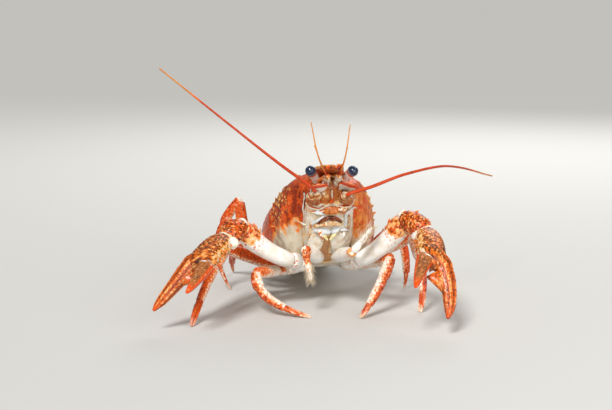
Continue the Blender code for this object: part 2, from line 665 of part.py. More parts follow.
def make_cheliped(side):
    """The clawed limb from hip to finger tips."""
    p = {k: Vector(v) for k, v in CHELIPED[side].items() if k != "hip"}
    hip = body_point(*CHELIPED[side]["hip"])
    hint = (p["knee"] - p["ischium"]).cross(p["wrist"] - p["knee"]).normalized()
    n_isch = meeting_normal(hip, p["ischium"], p["knee"])
    n_knee = meeting_normal(p["ischium"], p["knee"], p["wrist"])
    n_wrist = meeting_normal(p["knee"], p["wrist"], p["palm"])
    half = GAP / 2
    isch, knee, wrist = p["ischium"], p["knee"], p["wrist"]
    stations = segment_stations(hip, isch, 1.0, 1.0, ((0, 2.7), (0.45, 2.6), (0.55, 2.25), (0.7, 2.3)))
    stations.append((isch - n_isch * half, 2.2, 2.25))
    base = limb(f"cheliped_base_{side}", stations, hint, 12, end_normal=n_isch)
    sag = Vector((0, 0, -MERUS_SAG[side]))
    stations = [(isch + n_isch * half, 2.1, 2.1)]
    for t, wide, deep, share in MERUS_PROFILE:
        stations.append((isch.lerp(knee, t) + sag * share, wide, deep))
    stations.append((knee - n_knee * half, 2.1, 2.3))
    merus = limb(f"cheliped_merus_{side}", stations, hint, 14, start_normal=n_isch, end_normal=n_knee)
    stations = segment_stations(knee, wrist, 1.0, 1.0, ((0.26, 2.85), (0.55, 3.15), (0.8, 2.8)))
    stations = [(knee + n_knee * half, 2.1, 2.2), *stations, (wrist - n_wrist * half, 2.0, 2.0)]
    carpus = limb(f"cheliped_carpus_{side}", stations, hint, 14, start_normal=n_knee, end_normal=n_wrist)
    across = (p["fixed_root"] - p["finger_root"]).normalized()
    palm_end = (p["fixed_root"] + p["finger_root"]) / 2
    way = (palm_end - wrist).normalized()
    stations = [(wrist + n_wrist * half, 2.0, 2.0)]
    stations += segment_stations(wrist, palm_end, PALM_WIDE, PALM_DEEP, ((0.16, 0.84), (0.4, 1), (0.75, 1)))
    stations.append((palm_end - way * 0.2, PALM_WIDE * 0.93, PALM_DEEP * 0.85))
    hand = limb(f"cheliped_hand_{side}", stations, across, 16, start_normal=n_wrist, end_normal=way)
    root, mid, tip = p["fixed_root"], p["fixed_mid"], p["fixed_tip"]
    fixed = [(root - way * 2.0, 1.6, 1.9)] + [(bezier(root, mid, tip, t), w, d) for t, w, d in FIXED_PROFILE]
    lobe_root = bezier(root, mid, tip, 0.3)
    stations = [(lobe_root, 2.6, 1.4), (lobe_root.lerp(p["lobe"], 0.6), 1.7, 1.0), (p["lobe"], 0.5, 0.4)]
    lobe = limb("lobe", stations, root - tip, 8)
    out = across.cross(way)
    out = out if out.y < 0 else -out
    shares = [0.12 + 0.19 * k for k in range(5)]
    thorns = [limb_spine(wrist, palm_end, share, -across, PALM_WIDE * 0.9, 0.8, 0.5) for share in shares]
    boolean(hand, [limb("fixed", fixed, across, 12), lobe] + thorns, "UNION")
    keep_largest(hand)
    top = (out + Vector((0, 0, 1.2))).normalized()
    spread = way.cross(top).normalized()
    thorns = [limb_spine(knee, wrist, share, top + spread * aside, 2.45, 1.1, 0.5)
              for share, aside in ((0.3, -0.9), (0.35, 0.1), (0.4, 1.0), (0.66, -0.5), (0.7, 0.6))]
    boolean(carpus, thorns, "UNION")
    keep_largest(carpus)
    up = Vector((0, 0, 1))
    thorns = [limb_spine(isch, knee, share, up + Vector((0, aside, 0)), reach, 1.0, 0.5)
              for share, aside, reach in ((0.62, -0.6, 0.9), (0.76, 0.2, 1.1), (0.8, -1.2, 1.4))]
    boolean(merus, thorns, "UNION")
    keep_largest(merus)
    root, tip = p["finger_root"], p["finger_tip"]
    finger_way = (tip - root).normalized()
    bow = root.lerp(tip, 0.5) - across * 0.8
    finger = [(root - finger_way * 1.0, 1.4, 1.7)]
    finger += [(bezier(root, bow, tip, t), w, d) for t, w, d in FINGER_PROFILE]
    return base, merus, carpus, hand, limb(f"cheliped_finger_{side}", finger, across, 12)


def make_leg(name, spec):
    """A walking leg in two nodes: hip to knee, and knee to foot."""
    hip = body_point(*spec["hip"])
    knee, bend = Vector(spec["knee"]), Vector(spec["bend"])
    foot = Vector((*spec["foot"], 0.25))
    size = spec["size"]
    outward = body_turn() @ Vector((math.copysign(HIP_REACH, spec["hip"][0]), 0, -HIP_DROP))
    basis = hip + outward + (knee - hip) * 0.04
    first = bezier(knee, bend, foot, 0.12)
    elbow = Vector(spec["elbow"]) if "elbow" in spec else basis.lerp(knee, 0.5)
    normal = meeting_normal(elbow, knee, first)
    hint = (knee - basis).cross(foot - knee).normalized()
    thick = min(size, 1.05)
    stations = [(hip, 2.0 * thick, 2.0 * thick), (hip.lerp(basis, 0.55), 1.9 * thick, 1.9 * thick)]
    stations.append((basis, 1.5 * thick, 1.6 * thick))
    stations += [(bezier(basis, elbow, knee, t), w * thick, d * thick) for t, w, d in THIGH_PROFILE]
    stations.append((knee - normal * GAP / 2, 1.2 * size, 1.25 * size))
    thigh = limb(f"{name}_thigh", stations, hint, 10, end_normal=normal)
    shin_profile = [(0.1, 1.3, 1.35), (0.24, 1.35, 1.45), (0.29, 1.05, 1.1), (0.34, 1.15, 1.25)]
    shin_profile += [(0.55, 1.05, 1.15), (0.7, 0.95, 1.1)]
    if spec["pincer"]:
        shin_profile += [(0.8, 0.55, 0.6), (0.92, 0.42, 0.42), (1.0, 0.3, 0.3)]
    else:
        shin_profile += [(0.75, 0.62, 0.7), (0.8, 0.62, 0.7), (0.92, 0.42, 0.42), (1.0, 0.3, 0.3)]
    aside = (foot - bend).normalized().cross(hint) * 0.62 * size
    shift = {0.8: 0.75, 0.92: 0.8, 1.0: 0.55} if spec["pincer"] else {}
    stations = [(knee + normal * GAP / 2, 1.2 * size, 1.25 * size)]
    for t, wide, deep in shin_profile:
        stations.append((bezier(knee, bend, foot, t) + aside * shift.get(t, 0), wide * size, deep * size))
    shin = limb(f"{name}_shin", stations, hint, 10, start_normal=normal)
    if spec["pincer"]:
        thumb_profile = ((0.66, 0.5, 0.4), (0.76, 0.8, 0.5), (0.9, 0.85, 0.4), (0.985, 0.6, 0.28))
        thumb = [(bezier(knee, bend, foot, t) - aside * o, w * size, w * size) for t, o, w in thumb_profile]
        boolean(shin, [limb("thumb", thumb, hint, 8)], "UNION")
        keep_largest(shin)
    return thigh, shin


def abdomen_frames():
    """Start points, ways and ups of the abdomen's segments, and the end point."""
    back = body_turn() @ Vector((0, 1, 0))
    heading = Vector((back.x, back.y, 0)).normalized()
    point = body_point(*ABDOMEN_START)
    frames = []
    for length, _, _, slope in ABDOMEN:
        way = heading * math.cos(math.radians(slope)) - Vector((0, 0, math.sin(math.radians(slope))))
        frames.append((point.copy(), way))
        point = point + way * length
    return frames, point, heading


def tergite_ring(centre, normal, half, high, flap):
    """A ring round an abdomen segment: arched back, hanging side flaps and a raised underside."""
    across = Vector((0, 0, 1)).cross(normal).normalized()
    up = normal.cross(across).normalized()
    outline = []
    for k in range(15):
        angle = math.radians(-100 + 200 * k / 14)
        outline.append((math.sin(angle), -0.12 + 1.12 * math.cos(angle)))
    below = [(0.93, -flap), (0.82, -flap), (0.74, -0.5), (0.3, -0.42)]
    outline += below + [(-x, y) for x, y in reversed(below)]
    return [centre + across * half * x + up * high * y for x, y in outline]


def swimmerets(start, way, length, half, high):
    """The pair of small paddles under a tail segment."""
    across = Vector((0, 0, 1)).cross(way).normalized()
    up = way.cross(across).normalized()
    pair = []
    for sign in SIDES.values():
        root = start + way * length * 0.35 - across * sign * half * 0.5 - up * high * 0.36
        tip = root + way * length * 0.42 - up * high * 0.5
        stations = [(root, 0.8, 0.5), (root.lerp(tip, 0.5), 1.1, 0.45), (tip, 0.7, 0.3)]
        pair.append(limb("paddle", stations, across, 6))
    return pair


def make_abdomen():
    """The six tail segments in a row."""
    frames, end, _ = abdomen_frames()
    made = []
    for k, (length, half, high, _) in enumerate(ABDOMEN):
        start, way = frames[k]
        before = frames[k - 1][1] if k else way
        after = frames[k + 1][1] if k + 1 < len(frames) else way
        n0, n1 = (before + way).normalized(), (way + after).normalized()
        next_half, next_high = ABDOMEN[min(k + 1, 5)][1:3]
        rings = []
        for t, f, flap in TERGITE_PROFILE:
            normal = n0.lerp(n1, t).normalized()
            centre = start + way * (length * t + (GAP / 2 if t == 0 else -GAP / 2 if t == 1 else 0))
            wide = (half + (next_half - half) * t * 0.5) * f
            tall = (high + (next_high - high) * t * 0.5) * f
            rings.append(tergite_ring(centre, normal, wide, tall, flap))
        segment = loft(f"abdomen_{k + 1}", rings)
        if 1 <= k <= 4:
            boolean(segment, swimmerets(start, way, length, half, high), "UNION")
            keep_largest(segment)
        made.append(segment)
    return made


def blade(name, root, way, length, half, thick, narrow=0.45):
    """A flat plate with a rounded end, lying level."""
    across = Vector((0, 0, 1)).cross(way).normalized()
    stations = []
    outline = ((0.12, 0.66), (0.3, 0.88), (0.6, 1.0), (0.8, 0.97), (0.92, 0.78), (0.98, 0.5), (1, 0.3))
    for t, f in ((0, narrow), *outline):
        stations.append((root + way * length * t, half * f, thick / 2 * (1 - 0.45 * t)))
    return limb(name, stations, across, 8)


def make_tail_fan():
    """The telson and, on each side, a uropod with its two blades, down to the floor."""
    _, end, heading = abdomen_frames()
    across = Vector((0, 0, 1)).cross(heading).normalized()
    heading = (heading - Vector((0, 0, FAN_SLOPE))).normalized()
    start = Vector((end.x, end.y, FAN_HEIGHT)) + heading * GAP
    telson = blade("telson", start, heading, TELSON_LENGTH, TELSON_HALF_WIDTH, 1.9, 0.78)
    made = [telson]
    for side, sign in SIDES.items():
        root = Vector((end.x, end.y, FAN_HEIGHT)) + heading * GAP * 4
        root -= across * sign * (TELSON_HALF_WIDTH * 0.78 + 2.1)
        pieces = []
        for angle, length, half in UROPOD_BLADES:
            way = Matrix.Rotation(math.radians(-angle * sign), 3, "Z") @ heading
            pieces.append(blade("blade", root + way * 0.4, way, length, half, 1.5))
        stations = [(root, 1.6, 1.1), (root + heading * 1.2, 1.8, 1.1), (root + heading * 3.0, 1.2, 0.9)]
        knob = limb(f"uropod_{side}", stations, across, 8)
        boolean(knob, pieces, "UNION")
        keep_largest(knob)
        made.append(knob)
    return made


def rest_on_floor(obj):
    """Flattens what would reach below the floor, which leaves small flats at its level."""
    for vert in obj.data.vertices:
        vert.co.z = max(vert.co.z, 0.0)


def finish(obj, name, root):
    """Gives the object its finish and moves it to metres, with its origin at its middle."""
    obj.data.materials.clear()
    obj.data.materials.append(material(name, *FINISHES[name]))
    rest_on_floor(obj)
    keep_largest(obj)
    obj.data.transform(Matrix.Diagonal((MM, MM, MM, 1)) @ Matrix.Translation(-ORIGIN))
    low = Vector(tuple(min(v.co[i] for v in obj.data.vertices) for i in range(3)))
    high = Vector(tuple(max(v.co[i] for v in obj.data.vertices) for i in range(3)))
    centre = (low + high) / 2
    obj.data.transform(Matrix.Translation(-centre))
    obj.location = centre
    obj.parent = root
    obj.data.shade_smooth()
    obj.data.set_sharp_from_angle(angle=math.radians(40))


def build_side(side):
    """The paired nodes of one side but the walking legs, each with its finish."""
    stalk, eye = make_eye(side)
    antennule = make_antennule(side)
    base, whip, scale = make_antenna(side)
    for piece in (stalk, antennule, base, scale):
        cut_clear(piece, [head_cutter, shell_envelope])
    cut_clear(scale, [lambda: inflated(base), lambda: inflated(whip), lambda: inflated(antennule)])
    thigh, palp = make_maxilliped(side)
    hip, merus, carpus, hand, finger = make_cheliped(side)
    cut_clear(hip, [sternum_cutter, shell_envelope])
    cut_clear(thigh, [head_cutter, sternum_cutter, lambda: inflated(hip)])
    cut_clear(finger, [lambda: inflated(hand)])
    made = [(piece, "shell") for piece in (stalk, base, scale, carpus, hand, finger)]
    made += [(piece, "pale") for piece in (thigh, palp, hip, merus)]
    return made + [(antennule, "feeler"), (whip, "feeler"), (eye, "eye")], merus


def main():
    """Builds every node of the crayfish."""
    clear_scene()
    root = bpy.data.objects.new("crayfish", None)
    bpy.context.scene.collection.objects.link(root)
    finished = [(make_carapace(), "shell")]
    finished += [(block("head", HEAD), "pale"), (block("sternum", STERNUM), "pale")]
    mandibles = make_mandibles()
    cut_clear(mandibles, [head_cutter])
    finished.append((mandibles, "tooth"))
    above = {}
    for side in SIDES:
        made, above[side] = build_side(side)
        finished += made
    for name, spec in LEGS.items():
        side = name.split("_")[1]
        thigh, shin = make_leg(name, spec)
        cut_clear(thigh, [sternum_cutter, shell_envelope, lambda: inflated(above[side])])
        above[side] = thigh
        finished += [(thigh, "leg"), (shin, "leg")]
    finished += [(obj, "shell") for obj in make_abdomen() + make_tail_fan()]
    for obj, name in finished:
        finish(obj, name, root)


main()
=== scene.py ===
"""Looks of the narrow-clawed crayfish: shell, limbs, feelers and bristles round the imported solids.

Lengths are in millimetres in the pose space: X to the viewer's right as the animal faces the
viewer, Y away from the viewer, Z up from the floor. A piece is turned to the frame's metres when
it is made. Left and right are the animal's own, so its left side is at +X.
"""

import logging
import math
from dataclasses import dataclass, field
from enum import Enum
from typing import Callable, Sequence

import bmesh
import bpy
import numpy as np
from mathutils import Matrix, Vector


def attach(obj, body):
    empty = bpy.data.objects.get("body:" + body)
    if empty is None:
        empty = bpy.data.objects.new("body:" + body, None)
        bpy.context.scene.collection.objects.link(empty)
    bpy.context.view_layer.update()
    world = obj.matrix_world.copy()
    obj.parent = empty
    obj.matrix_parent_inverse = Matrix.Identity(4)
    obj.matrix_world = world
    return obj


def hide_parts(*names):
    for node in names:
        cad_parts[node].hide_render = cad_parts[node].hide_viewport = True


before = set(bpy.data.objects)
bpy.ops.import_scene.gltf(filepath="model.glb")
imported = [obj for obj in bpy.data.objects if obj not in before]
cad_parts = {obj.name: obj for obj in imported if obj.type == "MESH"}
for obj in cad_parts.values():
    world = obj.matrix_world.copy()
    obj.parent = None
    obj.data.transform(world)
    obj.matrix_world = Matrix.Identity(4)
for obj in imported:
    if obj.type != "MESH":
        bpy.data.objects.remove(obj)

LOG = logging.getLogger("crayfish")
Array = np.ndarray
Table = tuple[tuple[float, ...], ...]
Marks = dict[str, Array | float]
Look = tuple[Array | float, Marks]
Stations = Sequence[tuple[Array, float, float]]
Point = tuple[float, float, float]

MM = 0.001
ORIGIN = np.array((0.95, 38.4, 0.0))
UP = np.array((0.0, 0.0, 1.0))
WELD = 1e-7


class Side(Enum):
    """The animal's own sides. The value is the sign of X."""

    LEFT = 1
    RIGHT = -1

    @property
    def word(self) -> str:
        """The side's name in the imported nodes."""
        return self.name.lower()


def read(table: Table, at: Array | float, column: int = 1) -> Array:
    """Reads one column of a table along a smooth curve.

    Args:
        table: rows of a position and its values, in order.
        at: the positions to read.
        column: which value of a row is read.

    Returns:
        The value at each position, held level beyond the table's ends.
    """
    rows = np.array(table, float)
    return read_line(rows[:, 0], rows[:, column], np.asarray(at, float))


def read_line(xs: Array, ys: Array, at: Array) -> Array:
    """Reads a smooth curve through points at rising positions.

    Args:
        xs: the positions.
        ys: a value, or a row of values, at each position.
        at: the positions to read.

    Returns:
        The values at each position read.
    """
    slopes = np.empty_like(ys)
    gaps = np.diff(xs).reshape((-1,) + (1,) * (ys.ndim - 1))
    slopes[1:-1] = (ys[2:] - ys[:-2]) / (gaps[1:] + gaps[:-1])
    slopes[0], slopes[-1] = (ys[1] - ys[0]) / gaps[0], (ys[-1] - ys[-2]) / gaps[-1]
    at = np.clip(at, xs[0], xs[-1])
    i = np.clip(np.searchsorted(xs, at, "right") - 1, 0, len(xs) - 2)
    span = xs[i + 1] - xs[i]
    t = (at - xs[i]) / span
    if ys.ndim > 1:
        span, t = span[..., None], t[..., None]
    cube, square = t**3, t**2
    start = (2 * cube - 3 * square + 1) * ys[i] + (cube - 2 * square + t) * span * slopes[i]
    return start + (3 * square - 2 * cube) * ys[i + 1] + (cube - square) * span * slopes[i + 1]


def ease(low: float, high: float, at: Array) -> Array:
    """A smooth step from 0 at low to 1 at high; it falls where high is below low."""
    t = np.clip((at - low) / (high - low), 0.0, 1.0)
    return t * t * (3 - 2 * t)


def hill(at: Array, middle: float, width: float) -> Array:
    """A smooth bump of height 1 round the middle."""
    return np.exp(-(((at - middle) / width) ** 2))


def unit(ways: Array) -> Array:
    """The directions with length 1."""
    return ways / np.maximum(np.linalg.norm(ways, axis=-1, keepdims=True), 1e-12)


def reaches(points: Array) -> Array:
    """How far along a line each of its points lies."""
    return np.concatenate(([0.0], np.cumsum(np.linalg.norm(np.diff(points, axis=0), axis=1))))


def hashed(cells: Array, seed: float) -> Array:
    """A repeatable random value from 0 to 1 for each cell of whole numbers."""
    mixed = np.sin(cells @ np.array((127.1, 311.7, 74.7)) + seed * 12.9898) * 43758.5453
    return mixed - np.floor(mixed)


def clouds(points: Array, size: float, seed: float = 0.0) -> Array:
    """Smooth random values from 0 to 1.

    Args:
        points: where to read them.
        size: how far apart the values change, in the points' units.
        seed: picks another pattern.

    Returns:
        One value for each point.
    """
    scaled = points / size
    low = np.floor(scaled)
    t = scaled - low
    t = t * t * (3 - 2 * t)
    total = np.zeros(points.shape[:-1])
    for corner in np.ndindex(2, 2, 2):
        share = np.prod(np.where(np.array(corner) == 1, t, 1 - t), axis=-1)
        total += share * hashed(low + corner, seed)
    return total


def grains(points: Array, size: float, seed: float = 0.0) -> tuple[Array, Array]:
    """Finds the nearest of many scattered grains.

    Args:
        points: where to look.
        size: the grains' usual spacing, in the points' units.
        seed: picks another scatter.

    Returns:
        The distance to the nearest grain, in spacings, and that grain's own random value.
    """
    scaled = points / size
    base = np.floor(scaled)
    best = np.full(points.shape[:-1], 9.0)
    own = np.zeros(points.shape[:-1])
    for step in np.ndindex(3, 3, 3):
        cell = base + np.array(step) - 1
        place = cell + np.stack([hashed(cell, seed + k) for k in (1, 2, 3)], axis=-1)
        distance = np.linalg.norm(scaled - place, axis=-1)
        nearer = distance < best
        best = np.where(nearer, distance, best)
        own = np.where(nearer, hashed(cell, seed + 4), own)
    return best, own


def normals(points: Array, wraps: bool) -> Array:
    """Finds which way a sheet of rows round a middle line faces.

    Args:
        points: rows of places.
        wraps: whether each row is a ring.

    Returns:
        The outward direction at each point.
    """
    if wraps:
        across = np.roll(points, -1, axis=1) - np.roll(points, 1, axis=1)
    else:
        across = np.gradient(points, axis=1)
    out = unit(np.cross(across, np.gradient(points, axis=0)))
    outward = np.sum(out * (points - points.mean(axis=1, keepdims=True)))
    return out if outward >= 0 else -out


def shaped(wave: Array, power: float | Array) -> Array:
    """A wave from -1 to 1 made fuller or thinner, with its sign kept."""
    return np.sign(wave) * np.abs(wave) ** power


def bow(start: Array, middle: Array, end: Array, t: float) -> Array:
    """The place at a share t of the curve from start to end that leans towards the middle."""
    return start * (1 - t) ** 2 + middle * 2 * t * (1 - t) + end * t * t


def along(start: Array, end: Array, rows: Table, wide: float = 1.0, deep: float | None = None,
        first: float = 0.0, last: float = 1.0) -> Stations:
    """Sets stations on a straight line.

    Args:
        start: where the line starts.
        end: where it ends.
        rows: a share of the length, a half width and a half depth; a row of two is round.
        wide: a factor for the widths.
        deep: a factor for the depths, the widths' own if there is none.
        first: the share of the line where the length starts.
        last: the share of the line where it ends.

    Returns:
        The stations.
    """
    deep = wide if deep is None else deep
    return [(start + (end - start) * (first + (last - first) * row[0]), row[1] * wide, row[-1] * deep) for row in rows]


@dataclass
class Skin:
    """A sheet of points in rows that becomes part of a closed mesh piece.

    Attributes:
        points: rows of columns of places, in millimetres in the pose space.
        lie: the same points straightened out, which patterns read.
        marks: values from 0 to 1 that the finishes read.
        wraps: whether each row is a ring.
    """

    points: Array
    lie: Array
    marks: Marks = field(default_factory=dict)
    wraps: bool = True

    def columns(self, values: Array) -> Array:
        """The values as the mesh needs them, the first column repeated where rows are rings."""
        return np.concatenate([values, values[:, :1]], axis=1) if self.wraps else values


@dataclass
class Patch:
    """What a rule reads at each point of a limb.

    Attributes:
        share: how far along the limb, from 0 to 1.
        angle: round the limb, from the direction of its hint.
        out: the outward direction.
        lie: the straightened place.
        points: the place in the pose space.
    """

    share: Array
    angle: Array
    out: Array
    lie: Array
    points: Array

    @property
    def up(self) -> Array:
        """How far each point faces up, from -1 to 1."""
        return self.out[..., 2]

    def cloud(self, size: float, seed: float = 0.0) -> Array:
        """Smooth random values that follow the limb."""
        return clouds(self.lie, size, seed)

    def beads(self, size: float, seed: float) -> tuple[Array, Array]:
        """The distance to the nearest grain that follows the limb, and its own random value."""
        return grains(self.lie, size, seed)


Rule = Callable[[Patch], Look]


@dataclass
class Piece:
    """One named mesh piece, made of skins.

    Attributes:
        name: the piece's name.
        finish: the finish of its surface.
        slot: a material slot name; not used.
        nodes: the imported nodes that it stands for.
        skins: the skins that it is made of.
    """

    name: str
    finish: "Finish"
    slot: str
    nodes: Sequence[str] = ()
    skins: list[Skin] = field(default_factory=list)

    def add(self, *skins: Skin) -> "Piece":
        """Adds skins to the piece."""
        self.skins.extend(skins)
        return self

    def make(self) -> None:
        """Welds the skins into one object at the origin that rides on the body."""
        bm = bmesh.new()
        for skin in self.skins:
            rows, columns = skin.columns(skin.points).shape[:2]
            bmesh.ops.create_grid(bm, x_segments=columns - 1, y_segments=rows - 1, size=1.0)
        mesh = bpy.data.meshes.new(self.name)
        bm.to_mesh(mesh)
        bm.free()
        points = np.concatenate([s.columns(s.points).reshape(-1, 3) for s in self.skins])
        lies = np.concatenate([s.columns(s.lie).reshape(-1, 3) for s in self.skins])
        mesh.vertices.foreach_set("co", ((points - ORIGIN) * MM).astype(np.float32).ravel())
        layer = mesh.attributes.new("lie", "FLOAT_VECTOR", "POINT")
        layer.data.foreach_set("vector", lies.astype(np.float32).ravel())
        for mark in self.finish.reads:
            parts = [s.columns(np.broadcast_to(s.marks.get(mark, 0.0), s.points.shape[:2])).ravel() for s in self.skins]
            layer = mesh.attributes.new(mark, "FLOAT", "POINT")
            layer.data.foreach_set("value", np.clip(np.concatenate(parts), 0, 1).astype(np.float32))
        self.weld(mesh)
        mesh.materials.append(self.finish.material())
        mesh.shade_smooth()
        obj = bpy.data.objects.new(self.name, mesh)
        bpy.context.scene.collection.objects.link(obj)
        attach(obj, "root")
        if self.nodes:
            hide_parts(*self.nodes)
        LOG.info("%s: %d faces", self.name, len(mesh.polygons))

    @staticmethod
    def weld(mesh: bpy.types.Mesh) -> None:
        """Closes a mesh's seams and poles, and turns its faces out.

        Args:
            mesh: the mesh, which is changed.
        """
        bm = bmesh.new()
        bm.from_mesh(mesh)
        bmesh.ops.remove_doubles(bm, verts=bm.verts, dist=WELD)
        bmesh.ops.dissolve_degenerate(bm, edges=bm.edges, dist=WELD)
        bmesh.ops.recalc_face_normals(bm, faces=bm.faces)
        bm.to_mesh(mesh)
        bm.free()


@dataclass
class Limb:
    """A tapering length of limb along a line of stations.

    Attributes:
        stations: places on the middle line, each with half its width and half its depth.
        hint: the direction in which the width is measured.
        fullness: 1 for an oval, less for a squarer section.
        around: how many points a ring has.
        spacing: how far apart the rings are.
        domes: how far the rounded ends stand out, as shares of the end's half width.
    """

    stations: Stations
    hint: Array
    fullness: float = 0.95
    around: int = 48
    spacing: float = 0.32
    domes: tuple[float, float] = (0.5, 0.5)

    DOME_ROWS = 6
    THIN_MM = 0.3

    def skin(self, rule: Rule | None = None) -> Skin:
        """Builds the limb's skin.

        Args:
            rule: gives the height of its relief and its marks, if any.

        Returns:
            The skin, closed at both ends.
        """
        centres = np.array([station[0] for station in self.stations], float)
        sizes = np.array([station[1:3] for station in self.stations], float)
        reach = reaches(centres)
        run = np.linspace(0, reach[-1], max(int(reach[-1] / self.spacing), 8) + 1)
        line, size = read_line(reach, centres, run), read_line(reach, sizes, run)
        way = unit(np.gradient(line, axis=0))
        turn = np.linspace(0, math.pi / 2, self.DOME_ROWS + 1)[1:]
        for end, sign in ((0, -1), (-1, 1)):
            stand = self.domes[end] * size[end].mean() * np.sin(turn)
            dome = (line[end] + sign * way[end] * stand[:, None], size[end] * np.cos(turn)[:, None],
                np.repeat(way[[end]], len(turn), axis=0), run[end] + sign * stand)
            line, size, way, run = (np.concatenate([old, new] if end else [new[::-1], old])
                for new, old in zip(dome, (line, size, way, run)))
        across = unit(self.hint - way * np.sum(way * self.hint, axis=1, keepdims=True))
        beside = np.cross(way, across)
        angle = np.linspace(0, math.tau, self.around, endpoint=False)
        x = shaped(np.cos(angle), self.fullness) * size[:, :1]
        y = shaped(np.sin(angle), self.fullness) * size[:, 1:]
        points = line[:, None] + across[:, None] * x[..., None] + beside[:, None] * y[..., None]
        lie = np.stack([x, y, np.broadcast_to(run[:, None], x.shape)], axis=-1)
        if rule is None:
            return Skin(points, lie)
        out = normals(points, True)
        share = np.broadcast_to((run / reach[-1])[:, None], x.shape)
        height, marks = rule(Patch(share, np.broadcast_to(angle, x.shape), out, lie, points))
        fade = np.minimum(size.mean(axis=1) / self.THIN_MM, 1.0)[:, None]
        return Skin(points + out * (height * fade)[..., None], lie, marks)


def thorn(root: Array, way: Array, length: float, radius: float, lie: Array, bend: Array | float = 0.0) -> Skin:
    """A curved thorn with a pale tip.

    Args:
        root: its place on the surface.
        way: its direction.
        length: how far it stands out.
        radius: its radius at the root.
        lie: the straightened place of its root, which its pattern continues.
        bend: which way its tip leans, if any.

    Returns:
        The thorn's skin, sunk a little at the root.
    """
    way = unit(way)
    stations = [(root + way * length * t + bend * length * max(t, 0) ** 2, radius * share, radius * share)
        for t, share in ((-0.35, 1.15), (0.0, 1.0), (0.35, 0.66), (0.7, 0.34), (0.95, 0.12))]
    skin = Limb(stations, np.array((0.3, 0.9, 0.2)), 1.0, 9, length / 5, (0.2, 0.5)).skin()
    height = np.linspace(-0.35, 1.0, skin.points.shape[0])[:, None]
    return Skin(skin.points, skin.lie * 0.2 + lie, {"tip": ease(0.25, 0.8, height)})


def beside_line(chance: np.random.Generator, way: Array, count: int) -> Array:
    """Random directions straight out from a line."""
    spread = unit(chance.normal(size=(count, 3)))
    return unit(spread - way * (spread @ way)[:, None])


def hairs(roots: Array, ways: Array, lengths: Array, radius: float, lean: Array) -> list[Skin]:
    """Fine tapered bristles.

    Args:
        roots: where they grow.
        ways: their directions at the root.
        lengths: their lengths.
        radius: their radius at the root.
        lean: which way their tips lean, as a share of their length.

    Returns:
        One small skin for each bristle.
    """
    rows = np.linspace(0, 1, 4)
    ways = unit(ways)
    across = unit(np.cross(ways, UP + np.array((0.1, 0.2, 0.0))))
    beside = np.cross(ways, across)
    angle = np.linspace(0, math.tau, 3, endpoint=False)
    thick = (radius * np.array((1.0, 0.85, 0.6, 0.0)))[:, None, None]
    made = []
    for k, length in enumerate(lengths):
        line = roots[k] + ways[k] * (rows * length)[:, None] + lean * (rows**2 * length)[:, None]
        ring = across[k] * np.cos(angle)[:, None] + beside[k] * np.sin(angle)[:, None]
        points = line[:, None] + thick * ring
        made.append(Skin(points, points.copy(), {"tip": rows[:, None]}))
    return made


def colour(code: str) -> tuple[float, float, float, float]:
    """Turns an sRGB hex code to the linear colour that a shader takes.

    Args:
        code: the code, with its #.

    Returns:
        Linear red, green and blue, and a full alpha.
    """
    parts = [int(code[k:k + 2], 16) / 255 for k in (1, 3, 5)]
    linear = [p / 12.92 if p <= 0.04045 else ((p + 0.055) / 1.055) ** 2.4 for p in parts]
    return (*linear, 1.0)


def set_node(tree: bpy.types.NodeTree, node: bpy.types.Node, settings: dict,
        links: dict | None = None) -> bpy.types.Node:
    """Gives a node its settings and links.

    Args:
        tree: the tree that it stands in.
        node: the node.
        settings: values for its properties, and for inputs that nothing feeds.
        links: the sockets that feed its inputs.

    Returns:
        The same node.
    """
    for key, value in settings.items():
        if isinstance(key, int) or key in node.inputs:
            node.inputs[key].default_value = value
        else:
            setattr(node, key, value)
    for key, socket in (links or {}).items():
        tree.links.new(socket, node.inputs[key])
    return node


def add_node(tree: bpy.types.NodeTree, kind: str, settings: dict, links: dict | None = None) -> bpy.types.Node:
    """Adds a node with its settings and links."""
    return set_node(tree, tree.nodes.new(kind), settings, links)


# The colour inputs and the colour output of a mixing node.
MIX_A, MIX_B, MIX_OUT = 6, 7, 2
# Chitin hardened with calcite bends light at about 1.54, which gives a deep colour with small wet glints.
SHELL_IOR = 1.54
# Real pits are finer than this; they are drawn as coarse as it takes for them to show.
PIT_MM = 0.25
# Facets of an eye are about 0.04 mm wide; they are drawn three times as coarse, so that they show.
FACET_MM = 0.12


@dataclass(frozen=True)
class Finish:
    """A finish that any piece may take.

    Attributes:
        name: the material's name.
        reads: the marks that its nodes read.
    """

    name: str
    reads: tuple[str, ...] = ()

    def material(self) -> bpy.types.Material:
        """Makes the finish's material, once.

        Returns:
            The material.
        """
        found = bpy.data.materials.get(self.name)
        if found:
            return found
        made = bpy.data.materials.new(self.name)
        made.use_nodes = True
        self.dress(made.node_tree, made.node_tree.nodes["Principled BSDF"])
        return made

    def dress(self, tree: bpy.types.NodeTree, shader: bpy.types.Node) -> None:
        """Adds the finish's nodes round the shader."""
        raise NotImplementedError


